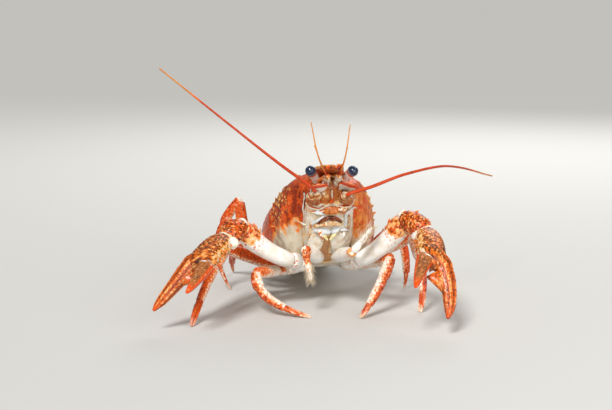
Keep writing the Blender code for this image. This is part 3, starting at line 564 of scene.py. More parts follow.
@dataclass(frozen=True)
class Cuticle(Finish):
    """Calcified crayfish shell: pigment in blotches and flecks under a thin clear outer layer.

    Attributes:
        ground: the main colour.
        shade: the darker blotches.
        light: the small bright flecks.
        grain: the colour on top of the raised grains.
        pale: the unpigmented shell.
        pale_shade: the darker patches of the unpigmented shell.
        tip: the colour of thorn tips.
        red: the clear red of edges and finger ends.
        blotch_mm: the size of a blotch.
        fleck_mm: the size of a fleck.
        spot_mm: the spacing of the spots on pale shell.
        stretch: how the pattern is drawn out, as a scale on each axis.
        shade_from: where blotches start, from 0 for everywhere to 1 for nowhere.
        light_from: where flecks start.
        soft: how gradually pigment gives way to pale shell.
        ragged: how unevenly it does so.
        roughness: the roughness.
        bump: how strong the fine relief is.
        glow: how much light passes under the surface.
    """

    reads: tuple[str, ...] = ("pale", "grain", "dark", "tip", "spots", "red")
    ground: str = "#DD5A1C"
    shade: str = "#8E2A0C"
    light: str = "#F2A45E"
    grain: str = "#7A2A10"
    pale: str = "#EDE4D2"
    pale_shade: str = "#C9BFA8"
    tip: str = "#F4D08A"
    red: str = "#D23C0A"
    blotch_mm: float = 2.4
    fleck_mm: float = 0.7
    spot_mm: float = 1.1
    stretch: Point = (1.0, 1.0, 1.0)
    shade_from: float = 0.5
    light_from: float = 0.62
    soft: float = 0.12
    ragged: float = 0.5
    roughness: float = 0.42
    bump: float = 0.25
    glow: float = 0.0

    def dress(self, tree: bpy.types.NodeTree, shader: bpy.types.Node) -> None:
        """Lays the pigments over one another and adds the fine relief.

        Args:
            tree: the material's tree.
            shader: its shader.
        """
        at = {name: add_node(tree, "ShaderNodeAttribute", {"attribute_name": name}).outputs["Fac"]
            for name in self.reads}
        lie = add_node(tree, "ShaderNodeAttribute", {"attribute_name": "lie"}).outputs["Vector"]
        drawn = add_node(tree, "ShaderNodeMapping", {"Scale": self.stretch}, {"Vector": lie}).outputs["Vector"]
        for name, vector, size, detail in (
                ("blotch", drawn, self.blotch_mm, 5.0), ("fleck", drawn, self.fleck_mm, 2.0),
                ("broad", lie, self.blotch_mm * 3, 2.0), ("pits", lie, PIT_MM, 2.0)):
            noise = {"Scale": 1 / size, "Detail": detail, "Roughness": 0.6}
            at[name] = add_node(tree, "ShaderNodeTexNoise", noise, {"Vector": vector}).outputs["Fac"]
        cells = add_node(tree, "ShaderNodeTexVoronoi", {"Scale": 1 / self.spot_mm, "Randomness": 1.0}, {"Vector": lie})
        uneven = {"operation": "MULTIPLY_ADD", 1: self.ragged, 2: -self.ragged / 2}
        ragged = add_node(tree, "ShaderNodeMath", uneven, {0: at["blotch"]}).outputs[0]
        edge = add_node(tree, "ShaderNodeMath", {"operation": "ADD"}, {0: ragged, 1: at["pale"]}).outputs[0]
        for name, source, low, high in (
                ("shaded", at["blotch"], self.shade_from, self.shade_from + 0.14),
                ("lit", at["fleck"], self.light_from, self.light_from + 0.08),
                ("patch", at["broad"], 0.4, 0.65), ("dot", cells.outputs["Distance"], 0.42, 0.3),
                ("thin", edge, 0.5 - self.soft, 0.5), ("bare", edge, 0.5, 0.5 + self.soft)):
            span = {"interpolation_type": "SMOOTHSTEP", "From Min": low, "From Max": high}
            at[name] = add_node(tree, "ShaderNodeMapRange", span, {"Value": source}).outputs["Result"]
        dotted = add_node(tree, "ShaderNodeMath", {"operation": "MULTIPLY"}, {0: at["dot"], 1: at["spots"]})
        at["dotted"] = dotted.outputs[0]
        for name, share, first, second in (
                ("pigment", "shaded", self.ground, self.shade), ("pigment", "lit", "pigment", self.light),
                ("pigment", "red", "pigment", self.red), ("pigment", "grain", "pigment", self.grain),
                ("plain", "patch", self.pale, self.pale_shade), ("plain", "dotted", "plain", self.ground),
                ("shown", "thin", "pigment", self.light), ("shown", "bare", "shown", "plain"),
                ("shown", "dark", "shown", self.shade), ("shown", "tip", "shown", self.tip)):
            sides = {MIX_A: first, MIX_B: second}
            plain = {key: colour(value) for key, value in sides.items() if value.startswith("#")}
            fed = {key: at[value] for key, value in sides.items() if value in at}
            made = add_node(tree, "ShaderNodeMix", {"data_type": "RGBA", **plain}, {0: at[share], **fed})
            at[name] = made.outputs[MIX_OUT]
        span = {"From Min": 0.3, "From Max": 0.7, "To Min": self.roughness - 0.08, "To Max": self.roughness + 0.12}
        gloss = add_node(tree, "ShaderNodeMapRange", span, {"Value": at["fleck"]}).outputs["Result"]
        relief = add_node(tree, "ShaderNodeBump", {"Strength": self.bump, "Distance": 0.00012}, {"Height": at["pits"]})
        set_node(tree, shader, {
            "Subsurface Weight": self.glow, "Subsurface Radius": (0.0009, 0.0006, 0.0004), "Subsurface Scale": 1.0,
            "IOR": SHELL_IOR, "Specular IOR Level": 0.24, "Coat Weight": 0.2, "Coat Roughness": 0.13,
        }, {"Base Color": at["shown"], "Roughness": gloss, "Normal": relief.outputs["Normal"]})


@dataclass(frozen=True)
class Cornea(Finish):
    """Eye of clear chitin kept wet over a black ground, with a painted grey-blue sheen at its rim and fine facets.

    Attributes:
        middle: the colour of its middle.
        rim: the colour of the painted sheen at its rim.
    """

    reads: tuple[str, ...] = ("tip",)
    middle: str = "#10233F"
    # Painted sheen: this grey-blue stands in for the reflection at the eye's edge.
    rim: str = "#8E92A2"

    def dress(self, tree: bpy.types.NodeTree, shader: bpy.types.Node) -> None:
        """Fades the eye's middle to the painted sheen at its rim and adds the facets.

        Args:
            tree: the material's tree.
            shader: its shader.
        """
        rim = add_node(tree, "ShaderNodeAttribute", {"attribute_name": "tip"}).outputs["Fac"]
        lie = add_node(tree, "ShaderNodeAttribute", {"attribute_name": "lie"}).outputs["Vector"]
        cells = add_node(tree, "ShaderNodeTexVoronoi", {"Scale": 1 / FACET_MM}, {"Vector": lie}).outputs["Distance"]
        colours = {"data_type": "RGBA", MIX_A: colour(self.middle), MIX_B: colour(self.rim)}
        shown = add_node(tree, "ShaderNodeMix", colours, {0: rim}).outputs[MIX_OUT]
        relief = add_node(tree, "ShaderNodeBump", {"Strength": 0.12, "Distance": 0.00003}, {"Height": cells})
        set_node(tree, shader, {"Roughness": 0.22, "Coat Weight": 0.3},
            {"Base Color": shown, "Normal": relief.outputs["Normal"]})


@dataclass(frozen=True)
class Bristle(Finish):
    """Bristle of soft chitin, grown as a fine hollow hair, darker at the root.

    Attributes:
        root: the colour of its root.
        end: the colour of its tip.
    """

    reads: tuple[str, ...] = ("tip",)
    root: str = "#C9A878"
    end: str = "#F3E9D4"

    def dress(self, tree: bpy.types.NodeTree, shader: bpy.types.Node) -> None:
        """Fades the root to the end.

        Args:
            tree: the material's tree.
            shader: its shader.
        """
        tip = add_node(tree, "ShaderNodeAttribute", {"attribute_name": "tip"}).outputs["Fac"]
        colours = {"data_type": "RGBA", MIX_A: colour(self.root), MIX_B: colour(self.end)}
        shown = add_node(tree, "ShaderNodeMix", colours, {0: tip}).outputs[MIX_OUT]
        set_node(tree, shader, {"Roughness": 0.55}, {"Base Color": shown})


# Crayfish shell, chitin and calcite laid down in layers: orange-red shows deep in it under a faint gloss,
# with dark red streaks that run up and down the cheeks.
SHELL = Cuticle("mottled_shell", stretch=(0.9, 1.0, 1.0), ground="#CE4C08", shade="#7E2204", light="#E48A3C",
    grain="#3E1206", pale="#CDC5B1", pale_shade="#B5A284", tip="#F6C870", blotch_mm=1.3, fleck_mm=0.42,
    shade_from=0.47, light_from=0.6, soft=0.28, ragged=1.3)
# Claw shell with hard grains grown on it: they stand brown and close together on orange, with yellow
# flecks between them.
HAND = Cuticle("granular_claw_shell", ground="#C8600F", shade="#8C3A0A", light="#E3A24E", grain="#3C1608",
    red="#DC5612", pale="#E2D9CC", pale_shade="#C9B9A6", blotch_mm=1.4, fleck_mm=0.45, tip="#F4BA70", shade_from=0.5)
# Wrist shell of the same layers: red-orange with nearly black blotches.
CARPUS = Cuticle("blotched_carpus_shell", ground="#CA560C", shade="#842A06", light="#E69C44", grain="#321006",
    pale="#E2DACE", blotch_mm=1.0, fleck_mm=0.4, shade_from=0.52, tip="#F4B468")
# Shell of the movable finger, rubbed in use: its brown wears to red at the edges.
FINGER = Cuticle("brown_finger_shell", ground="#A8622E", shade="#75401E", light="#C08650", grain="#6A3A1E",
    pale="#E2DACE", blotch_mm=1.0, fleck_mm=0.5, tip="#E9B070", red="#DE4C0C", shade_from=0.5, stretch=(1.0, 1.0, 0.25))
# Arm shell that the pigment leaves out: bright white calcite with a soft depth and a few orange spots.
ARM = Cuticle("white_arm_shell", ground="#DA5C0C", shade="#8A2C06", light="#F0AC60", grain="#6E2208",
    pale="#F2F1EC", pale_shade="#E6DFD0", spot_mm=0.8, blotch_mm=1.0, fleck_mm=0.4, tip="#F2BC84", soft=0.2, glow=0.12)
# Thin leg shell: white, with red spots on its outer side.
LEG = Cuticle("spotted_leg_shell", ground="#CC4A04", shade="#8A2A06", light="#E8843E", grain="#761A04", red="#C64006",
    pale="#EFE7DA", pale_shade="#E6CDAE", spot_mm=0.62, blotch_mm=0.62, fleck_mm=0.4, tip="#EFDCC2", soft=0.2,
    ragged=1.5)
# Thin plates of the face, less hardened: cream and beige with orange-brown patches, soft in the light.
FACE = Cuticle("cream_face_shell", ground="#B8621E", shade="#7A2E08", light="#E8BE7E", grain="#9C4010",
    pale="#DDD6C8", pale_shade="#C6B291", blotch_mm=0.8, fleck_mm=0.35, tip="#F0E2A4", soft=0.22, glow=0.1, spot_mm=0.5,
    red="#B93A0C")
# Feeler shell, grown in short rings: clear orange-red all along.
WHIP = Cuticle("feeler_shell", ground="#BC3A00", shade="#963002", light="#DC6010", grain="#8E2A06",
    pale="#CC842E", pale_shade="#BC6A1C", blotch_mm=2.5, fleck_mm=0.4, bump=0.1, roughness=0.55)
# Jaw edges, the hardest shell, worn smooth by biting: nearly black with a sharper gloss.
JAW = Cuticle("dark_jaw", ground="#8C3C12", shade="#360E04", light="#9A5A30", grain="#2A0C06",
    pale="#D9C49A", blotch_mm=0.8, fleck_mm=0.4, roughness=0.32)
# Unhardened skin between the plates, folded as the joint bends: pale, bluish and a little see-through.
SOFT = Cuticle("joint_skin", ground="#D9B48A", shade="#B98A5E", light="#E6DFD0", pale="#D3D5D4",
    pale_shade="#B9BFC2", blotch_mm=1.0, shade_from=0.55, roughness=0.4, soft=0.3, glow=0.35)
EYE = Cornea("wet_eye")
HAIR = Bristle("bristle")


@dataclass(frozen=True)
class Trunk:
    """The trunk's own frame: x to its left, s back from the rostrum's tip, z up from mid height.

    Attributes:
        centre: where its middle stands in the pose space.
        middle_s: the s of its middle.
        yaw: how far the rear is turned to the animal's right, in degrees.
        pitch: how far the front is raised.
        roll: how far it leans to a side.
    """

    centre: Point = (-2.4, 21.3, 24.5)
    middle_s: float = 35.0
    yaw: float = 7.5
    pitch: float = 16.0
    roll: float = -2.5

    def turn(self) -> Array:
        """Works out the frame's rotation.

        Returns:
            The rotation as a matrix.
        """
        a, b, c = (math.radians(v) for v in (self.yaw, -self.pitch, self.roll))
        yaw = np.array(((math.cos(a), -math.sin(a), 0), (math.sin(a), math.cos(a), 0), (0, 0, 1)))
        pitch = np.array(((1, 0, 0), (0, math.cos(b), -math.sin(b)), (0, math.sin(b), math.cos(b))))
        roll = np.array(((math.cos(c), 0, math.sin(c)), (0, 1, 0), (-math.sin(c), 0, math.cos(c))))
        return yaw @ pitch @ roll

    def place(self, points: Array | Sequence[float]) -> Array:
        """Points of the frame, in the pose space."""
        return self.way(np.asarray(points, float) - np.array((0, self.middle_s, 0))) + np.array(self.centre)

    def way(self, ways: Array | Sequence[float]) -> Array:
        """Directions of the frame, in the pose space."""
        return np.asarray(ways, float) @ self.turn().T

    def mirrored(self, side: Side, point: Sequence[float]) -> Array:
        """A point given for the left side, placed on the asked one."""
        return self.place((point[0] * side.value, point[1], point[2]))


TRUNK = Trunk()


@dataclass
class Carapace:
    """The shell of head and thorax, with its grooves, thorns and rostrum.

    The tables read along s, back from the rostrum's tip in the trunk's frame.

    Attributes:
        half_width: half the width.
        shoulder: how far in the back is rounded; less is squarer.
        back_z: the height of the back.
        widest_z: the height where the shell is widest.
        margin_z: the height of the lower edge.
        cavity_half_width: half the width of the hollow inside.
        cavity_roof: the height of its roof.
        rostrum: the rostrum's half width, middle height and half thickness.
        section: the rostrum's outline, in half widths and half thicknesses.
        margin_angle: where the lower edge lies round the back, in degrees.
        front_s: where the front edge starts.
        front_z: the height there.
        front_slant: how far back the front edge runs for each millimetre down.
        rear_s: where the rear edge lies.
        rear_slant: how far it runs forward for each millimetre down.
        groove_s: where the neck groove crosses the back.
        groove_slant: how far it runs forward for each millimetre down.
        groove_depth: its depth.
        lip: the thickness of the front edge.
        front_bulge: how far back that edge is rounded, as a share.
        columns: how many points run round the back.
    """

    half_width: Table = ((13, 7.8), (17, 9.8), (22, 11.9), (28, 13.4), (35, 15.0), (43, 16.2), (51, 15.8), (57, 14.0),
        (61, 11.8))
    shoulder: Table = ((13, 0.85), (22, 0.8), (28, 0.95), (36, 1.4), (44, 1.75), (61, 1.4))
    back_z: Table = ((13, 9.6), (17, 10.5), (22, 11.3), (30, 12.1), (38, 12.8), (46, 12.8), (54, 11.6), (61, 9.6))
    widest_z: Table = ((13, 4.0), (20, 2.0), (28, 0.0), (36, -3.0), (46, -4.5), (61, -2.5))
    margin_z: Table = ((13, -5.0), (22, -8.0), (28, -11.0), (36, -12.0), (46, -11.8), (54, -10.5), (61, -7.5))
    cavity_half_width: Table = ((13, 6.3), (28, 6.7), (33, 7.7), (38, 9.0), (61, 8.6))
    cavity_roof: Table = ((13, 9.5), (32, -1.7), (61, -1.7))
    rostrum: Table = ((0, 0.25, 8.9, 0.25), (2, 0.85, 9.1, 0.55), (3.8, 1.4, 9.3, 0.75), (4.6, 2.4, 9.4, 0.8),
        (7, 2.9, 9.6, 0.9), (11, 3.5, 9.9, 1.0), (15, 4.2, 10.1, 1.1), (20, 5.0, 10.2, 1.0), (24, 5.2, 10.2, 0.9))
    section: Table = ((1, 0.1), (0.9, 1), (0.55, 0.35), (0.2, 0.3), (0, 0.8), (-0.2, 0.3), (-0.55, 0.35),
        (-0.9, 1), (-1, 0.1), (-0.6, -0.8), (0, -1), (0.6, -0.8))
    margin_angle: float = 135.0
    front_s: float = 14.0
    front_z: float = 10.5
    front_slant: float = 0.7
    rear_s: float = 60.0
    rear_slant: float = 0.1
    groove_s: float = 40.0
    groove_slant: float = 0.55
    groove_depth: float = 0.8
    lip: float = 0.6
    front_bulge: float = 0.6
    columns: int = 161

    FRONT_ROWS = -1 + np.linspace(0, 1, 76) ** 1.35
    ROUNDS = 12

    def edges(self, u: Array, z: Array) -> Array:
        """Finds how far back a ring of the shell lies.

        Args:
            u: the ring, from -1 at the front edge through 0 at the groove to 1 at the rear edge.
            z: the height.

        Returns:
            Its s.
        """
        drop = self.front_z - np.minimum(z, self.front_z)
        front = self.front_s + self.front_slant * drop
        rear = self.rear_s - self.rear_slant * (self.front_z - z)
        groove = np.maximum(self.groove_s - self.groove_slant * drop, front + 3.0)
        return np.where(u < 0, groove + u * (groove - front), groove + u * (rear - groove))

    def outside(self, s: Array, angle: Array) -> Array:
        """Draws the full outer form.

        Args:
            s: how far back.
            angle: degrees round the back, from 0 at its middle and growing to the left.

        Returns:
            The places in the trunk's frame.
        """
        a = np.radians(angle)
        upper = np.abs(angle) <= 90
        x = read(self.half_width, s) * shaped(np.sin(a), np.where(upper, read(self.shoulder, s), 0.85))
        widest = read(self.widest_z, s)
        above = widest + (read(self.back_z, s) - widest) * np.abs(np.cos(a)) ** 0.92
        share = np.abs(np.cos(a)) / abs(math.cos(math.radians(self.margin_angle)))
        below = widest - (widest - read(self.margin_z, s)) * share
        return np.stack([x, s, np.where(upper, above, below)], axis=-1)

    def inside(self, u: Array, angle: Array) -> Array:
        """Draws the hollow's wall, across from the outer form.

        Args:
            u: the ring.
            angle: degrees round the back.

        Returns:
            The places in the trunk's frame.
        """
        a = np.radians(90 - angle * 90 / self.margin_angle)
        x_share, z_share = shaped(np.cos(a), 0.45), np.abs(np.sin(a)) ** 0.6
        z = np.zeros_like(x_share)
        for _ in range(self.ROUNDS):
            s = self.edges(u, z)
            z = read(self.margin_z, s) * (1 - z_share) + read(self.cavity_roof, s) * z_share
        return np.stack([read(self.cavity_half_width, s) * x_share, s, z], axis=-1)

    def outer(self, u: Array, angle: Array) -> Array:
        """Draws the outer form, drawn in to the hollow near the front edge.

        Args:
            u: the ring.
            angle: degrees round the back.

        Returns:
            The places in the trunk's frame.
        """
        s = self.edges(u, np.zeros_like(u))
        for _ in range(self.ROUNDS):
            point = self.outside(s, angle)
            s = self.edges(u, point[..., 2])
        share = np.minimum((u + 1) / self.front_bulge, 1.0)
        full = (0.06 + 0.94 * np.sqrt(np.maximum(1 - (1 - share) ** 2, 0)))[..., None]
        inner = self.inside(u, angle)
        middle = np.stack([np.zeros_like(u), inner[..., 1], read(self.margin_z, inner[..., 1])], axis=-1)
        lip = inner + unit(inner - middle) * self.lip
        point = lip * (1 - full) + point * full
        return np.stack([point[..., 0], self.edges(u, point[..., 2]), point[..., 2]], axis=-1)

    def relief(self, body: Array, u: Array, angle: Array) -> Look:
        """Grooves, grains and markings of the outer form, with a painted highlight low on each cheek and painted light
        on the left cheek.

        Args:
            body: the points in the trunk's frame.
            u: their place from the front edge to the rear edge.
            angle: their angle round the back.

        Returns:
            The height of the relief and the marks.
        """
        across, back, z = np.moveaxis(body, -1, 0)
        x, turn = np.abs(across), np.abs(angle)
        from_groove = back - self.edges(np.zeros_like(u), z)
        height = -self.groove_depth * hill(from_groove, 0.0, 1.1) * ease(125, 95, turn)
        height = height - 0.22 * hill(x, 1.9, 0.35) * ease(1.5, 5.0, from_groove) * ease(60, 30, turn)
        cheek = ease(38, 52, turn) * ease(118, 100, turn) * ease(-0.85, -0.6, u) * ease(0.12, -0.02, u)
        branchial = ease(30, 55, turn) * ease(130, 112, turn) * ease(0.02, 0.15, u)
        near, own = grains(body, 1.15, 3.0)
        fine, _ = grains(body, 0.7, 8.0)
        height = height + ease(0.55, 0.15, near) * (0.34 * cheek * (0.4 + own) + 0.07 * branchial)
        height = height + ease(0.5, 0.1, fine) * (0.03 + 0.05 * branchial + 0.05 * cheek)
        drawn = body * np.array((1.2, 1.2, 0.28))
        ragged = 3.0 * clouds(body, 6.0, 2.0) + 1.8 * clouds(drawn, 0.7, 21.0) + 1.6 * clouds(body, 1.6, 22.0) - 3.2
        behind = 4.5 * ease(31.0, 37.0, back)
        pale = 0.95 * ease(0.0, -8.0, z + ragged + behind + 2.8 * ease(-4.0, 10.0, across))
        # Painted highlight: a paler patch low on each cheek, stronger on the right side, where the key light falls.
        bare = hill(x, 9.2, 1.4) * hill(z, -2.7, 1.5) * (0.6 + 0.6 * clouds(body, 0.7, 25.0))
        pale = np.maximum(pale, np.where(across < 0, 0.75, 0.5) * bare)
        # Painted light: the left cheek, which the key light leaves in shade, is drawn paler and with fewer dark
        # streaks.
        lit = ease(3.0, 8.0, across) * ease(7.0, 3.0, z) * ease(36.0, 30.0, back)
        pale = np.maximum(pale, (0.2 + 0.3 * clouds(drawn, 1.1, 26.0)) * lit)
        streak = 0.55 * clouds(drawn, 1.2, 5.0) + 0.45 * clouds(body, 0.5, 9.0)
        flank = ease(30, 55, turn) * ease(118, 90, turn) * ease(0.3, -0.1, u) * (1 - 0.7 * lit)
        # Painted light: the dark streaks are also a little fewer on the left side than on the right.
        dark = np.maximum(0.9 * ease(0.46, 0.66, streak - 0.04 * np.sign(across)) * flank,
            0.35 * hill(from_groove, 0.0, 0.8) * ease(110, 80, turn))
        spiny = cheek * (0.2 + 0.8 * hill(z, 3.0, 4.0) * ease(7.0, 10.0, x))
        return height, {"pale": pale, "dark": dark, "tip": ease(0.5, 0.25, near) * spiny * 0.9 * (own > 0.5),
            "grain": ease(0.5, 0.3, near) * np.maximum(branchial * 0.5 * (own > 0.6), spiny * (own < 0.3))}

    def shell(self) -> Skin:
        """Builds the shell, outside and inside.

        Returns:
            Its skin: each row runs round the outside and back along the inside.
        """
        u, angle = np.meshgrid(np.concatenate([self.FRONT_ROWS, np.linspace(0, 1, 66)[1:]]),
            np.linspace(-self.margin_angle, self.margin_angle, self.columns), indexing="ij")
        body = self.outer(u, angle)
        height, marks = self.relief(body, u, angle)
        fade = ease(-1.0, -0.95, u) * ease(135, 131, np.abs(angle))
        outer, inner = body + normals(body, False) * (height * fade)[..., None], self.inside(u, angle)
        middle = (outer + inner) / 2
        rows = [0, *range(len(u)), -1]
        points = np.concatenate([outer, inner[:, ::-1]], axis=1)[rows]
        points[[0, -1]] = np.concatenate([middle, middle[:, ::-1]], axis=1)[[0, -1]]
        within = {name: np.concatenate([values, np.full_like(values, 0.9 if name == "pale" else 0.0)], axis=1)[rows]
            for name, values in marks.items()}
        return Skin(TRUNK.place(points), points * np.array((1.0, 1.0, 0.6)), within)

    def beak(self) -> Skin:
        """Builds the rostrum, with its raised edges and keel.

        Returns:
            Its skin, which sinks into the shell behind.
        """
        outline = np.array(self.section, float)
        turns = np.arange(len(outline) + 5) - 2
        ring = read_line(turns.astype(float), outline[turns % len(outline)], np.linspace(0, len(outline), 73)[:-1])
        s = np.concatenate([[0.0], np.linspace(0, 24, 90)])
        half, middle, thick = (read(self.rostrum, s, k)[:, None] for k in (1, 2, 3))
        half[0], thick[0] = 0.0, 0.0
        x, z = half * ring[:, 0], middle - 1.9 * ease(14, 24, s)[:, None] + thick * ring[:, 1]
        body = np.stack([x, np.broadcast_to(s[:, None], x.shape), z], axis=-1)
        near, own = grains(body, 0.6, 33.0)
        bead, rim = ease(0.55, 0.2, near), hill(np.abs(ring[:, 0]), 0.9, 0.12) * (ring[:, 1] > 0.3)
        points = TRUNK.place(body)
        points = points + normals(points, True) * (0.1 * bead * ease(0.4, 2.0, half))[..., None]
        dark = ease(0.5, 0.75, clouds(body * np.array((1.6, 0.5, 1.6)), 0.8, 4.0)) * 0.8
        return Skin(points, body, {"pale": 0.45 * clouds(body, 0.7, 6.0), "dark": dark * (1 - bead),
            "tip": np.maximum(0.6 * rim, 0.9 * bead * (own > 0.6)), "grain": bead * (own < 0.3),
            "red": np.where(ring[:, 1] < 0, 0.7, 0.45)})

    def thorns(self, shell: Skin) -> list[Skin]:
        """Grows thorns along the neck groove, behind the eyes and on the rostrum.

        Args:
            shell: the shell's skin.

        Returns:
            The thorns' skins.
        """
        places = [(-0.17, angle, length, 0.5, 0.9) for angle, length in (
            (46, 0.7), (54, 0.9), (62, 1.2), (70, 1.5), (79, 1.3), (88, 1.1), (97, 0.9))]
        places += [(-0.8, 33, 1.5, 0.5, 1.4), (-0.45, 27, 1.0, 0.5, 1.2), (-0.3, 58, 0.8, 0.4, 0.6),
            (-0.32, 82, 0.8, 0.4, 0.6)]
        half, out = self.columns // 2, normals(shell.points[:, :self.columns], False)
        made = []
        for side in Side:
            for u, angle, length, radius, lean in places:
                row = int(np.argmin(np.abs(self.FRONT_ROWS - u))) + 1
                column = half + int(round(side.value * angle / self.margin_angle * half))
                root = shell.points[row, column]
                ahead = unit(shell.points[row - 3, column] - root)
                made.append(thorn(root, out[row, column] + ahead * lean, length, radius, shell.lie[row, column],
                    ahead * 0.15))
            for s, length in ((4.7, 1.7), (7.4, 0.9), (9.8, 0.8)):
                edge = float(read(self.rostrum, s, 1))
                root = TRUNK.place((side.value * (edge - 0.3), s + 0.3, 9.4 + 0.08 * s))
                tip = TRUNK.place((side.value * (edge + 0.35), s - length, 9.6 + 0.08 * s))
                made.append(thorn(root, tip - root, length, 0.4, np.array((edge, s, 0.0))))
            for s, height, length in ((0.9, 9.5, 0.4), (2.4, 9.75, 0.45), (3.9, 9.95, 0.4), (6.0, 10.2, 0.4),
                    (8.4, 10.5, 0.35), (11.5, 10.8, 0.35)):
                edge = float(read(self.rostrum, s, 1)) * 0.86
                root, way = TRUNK.place((side.value * edge, s, height - 0.1)), TRUNK.way((side.value * 0.3, -0.5, 0.9))
                made.append(thorn(root, way, length, 0.26, np.array((edge, s, 3.0))))
        return made

    def build(self) -> None:
        """Makes the carapace."""
        shell = self.shell()
        Piece("carapace_shell", SHELL, "shell", ["carapace"]).add(shell, self.beak(), *self.thorns(shell)).make()


@dataclass
class Head:
    """The blocks that carry the face and the legs.

    Attributes:
        head: the face's block: s in the trunk's frame, half width, bottom and top.
        sternum: the block between the legs, in the same way.
    """

    head: Table = ((11.8, 2.6, 4.8, 7.6), (13.5, 5.2, 1.8, 8.2), (16.5, 6.4, -2.2, 6.3), (20.5, 6.8, -6.2, 3.6),
        (24.5, 7.1, -9.6, 1.1), (28.2, 7.2, -11.6, -1.2))
    sternum: Table = ((28.6, 6.4, -12.0, -1.6), (31, 7.3, -13.2, -3.0), (38, 8.0, -14.0, -3.3), (48, 8.0, -13.4, -3.3),
        (55, 7.6, -12.0, -3.1), (59, 6.6, -9.6, -3.1))

    ROWS = 110
    END_ROWS = 8

    def block(self, table: Table, rule: Rule) -> Skin:
        """Builds a block along the trunk.

        Args:
            table: rows of s, half width, bottom and top.
            rule: gives its relief and marks.

        Returns:
            The block's skin.
        """
        first, last, ends = table[0][0], table[-1][0], self.END_ROWS
        inset = np.linspace(0, 1, ends + 1)[:-1]
        s = np.concatenate([np.full(ends, first), np.linspace(first, last, self.ROWS), np.full(ends, last)])
        size = np.concatenate([inset, np.ones(self.ROWS), inset[::-1]])[:, None]
        half, low, high = (read(table, s, k)[:, None] for k in (1, 2, 3))
        angle = np.linspace(0, math.tau, 150, endpoint=False)
        x = size * half * shaped(np.cos(angle), 0.65)
        z = (low + high) / 2 + size * (high - low) / 2 * shaped(np.sin(angle), 0.8)
        body = np.stack([x, np.broadcast_to(s[:, None], x.shape), z], axis=-1)
        points = TRUNK.place(body)
        out = normals(points, True)
        height, marks = rule(Patch(np.broadcast_to(size, x.shape), np.broadcast_to(angle, x.shape), out, body, points))
        return Skin(points + out * (height * ease(0.0, 1.0, size))[..., None], body, marks)

    @staticmethod
    def face_rule(patch: Patch) -> Look:
        """Orange-brown under the rostrum, cream lower down, brown between the jaw feet.

        Args:
            patch: its points.

        Returns:
            Its relief and marks.
        """
        x, z = patch.lie[..., 0], patch.lie[..., 2]
        wave, broad = patch.cloud(1.3, 2.0), patch.cloud(2.2, 14.0)
        middle = hill(z, -0.8, 1.6) * ease(0.42, 0.62, broad) + 0.55 * ease(-4.5, -6.0, z) * ease(0.56, 0.72, broad)
        pale = ease(2.6, -0.2, z + 2.2 * (wave - 0.5)) * (1 - 0.75 * middle)
        pale = np.maximum(pale, ease(0.5, 2.0, z) * (0.02 + 0.5 * wave))
        gap = ease(2.4, 0.5, np.abs(x + 1.2) - 0.12 * (z + 11)) * ease(-6.4, -8.0, z)
        return 0.16 * (wave - 0.5), {"pale": pale * (1 - gap), "dark": 0.15 * gap, "tip": 0.2 * gap,
            "spots": 0.7 * ease(0.4, 0.7, broad) * ease(3.0, -1.0, z)}

    @staticmethod
    def sternum_rule(patch: Patch) -> Look:
        """Pale plates with a ridge at each pair of legs.

        Args:
            patch: its points.

        Returns:
            Its relief and marks.
        """
        ridge = np.cos(patch.lie[..., 1] * math.tau / 4.9)
        middle = ease(2.6, 0.8, np.abs(patch.lie[..., 0])) * ease(36, 30, patch.lie[..., 1])
        return 0.18 * ridge, {"pale": 1 - middle, "dark": 0.3 * ease(-0.7, -1.0, ridge), "tip": 0.2 * middle}

    def build(self) -> None:
        """Makes the face's ground and the thorax's underside."""
        Piece("face", FACE, "pale_shell", ["head"]).add(self.block(self.head, self.face_rule)).make()
        Piece("thorax_plates", FACE, "pale_shell", ["sternum"]).add(self.block(self.sternum, self.sternum_rule)).make()


class Tint(Enum):
    """How a small plate of the face is coloured."""

    BARE = "bare"
    ORANGE = "orange"
    TOPPED = "topped"
    STAINED = "stained"
    YELLOW = "yellow"
    MIXED = "mixed"


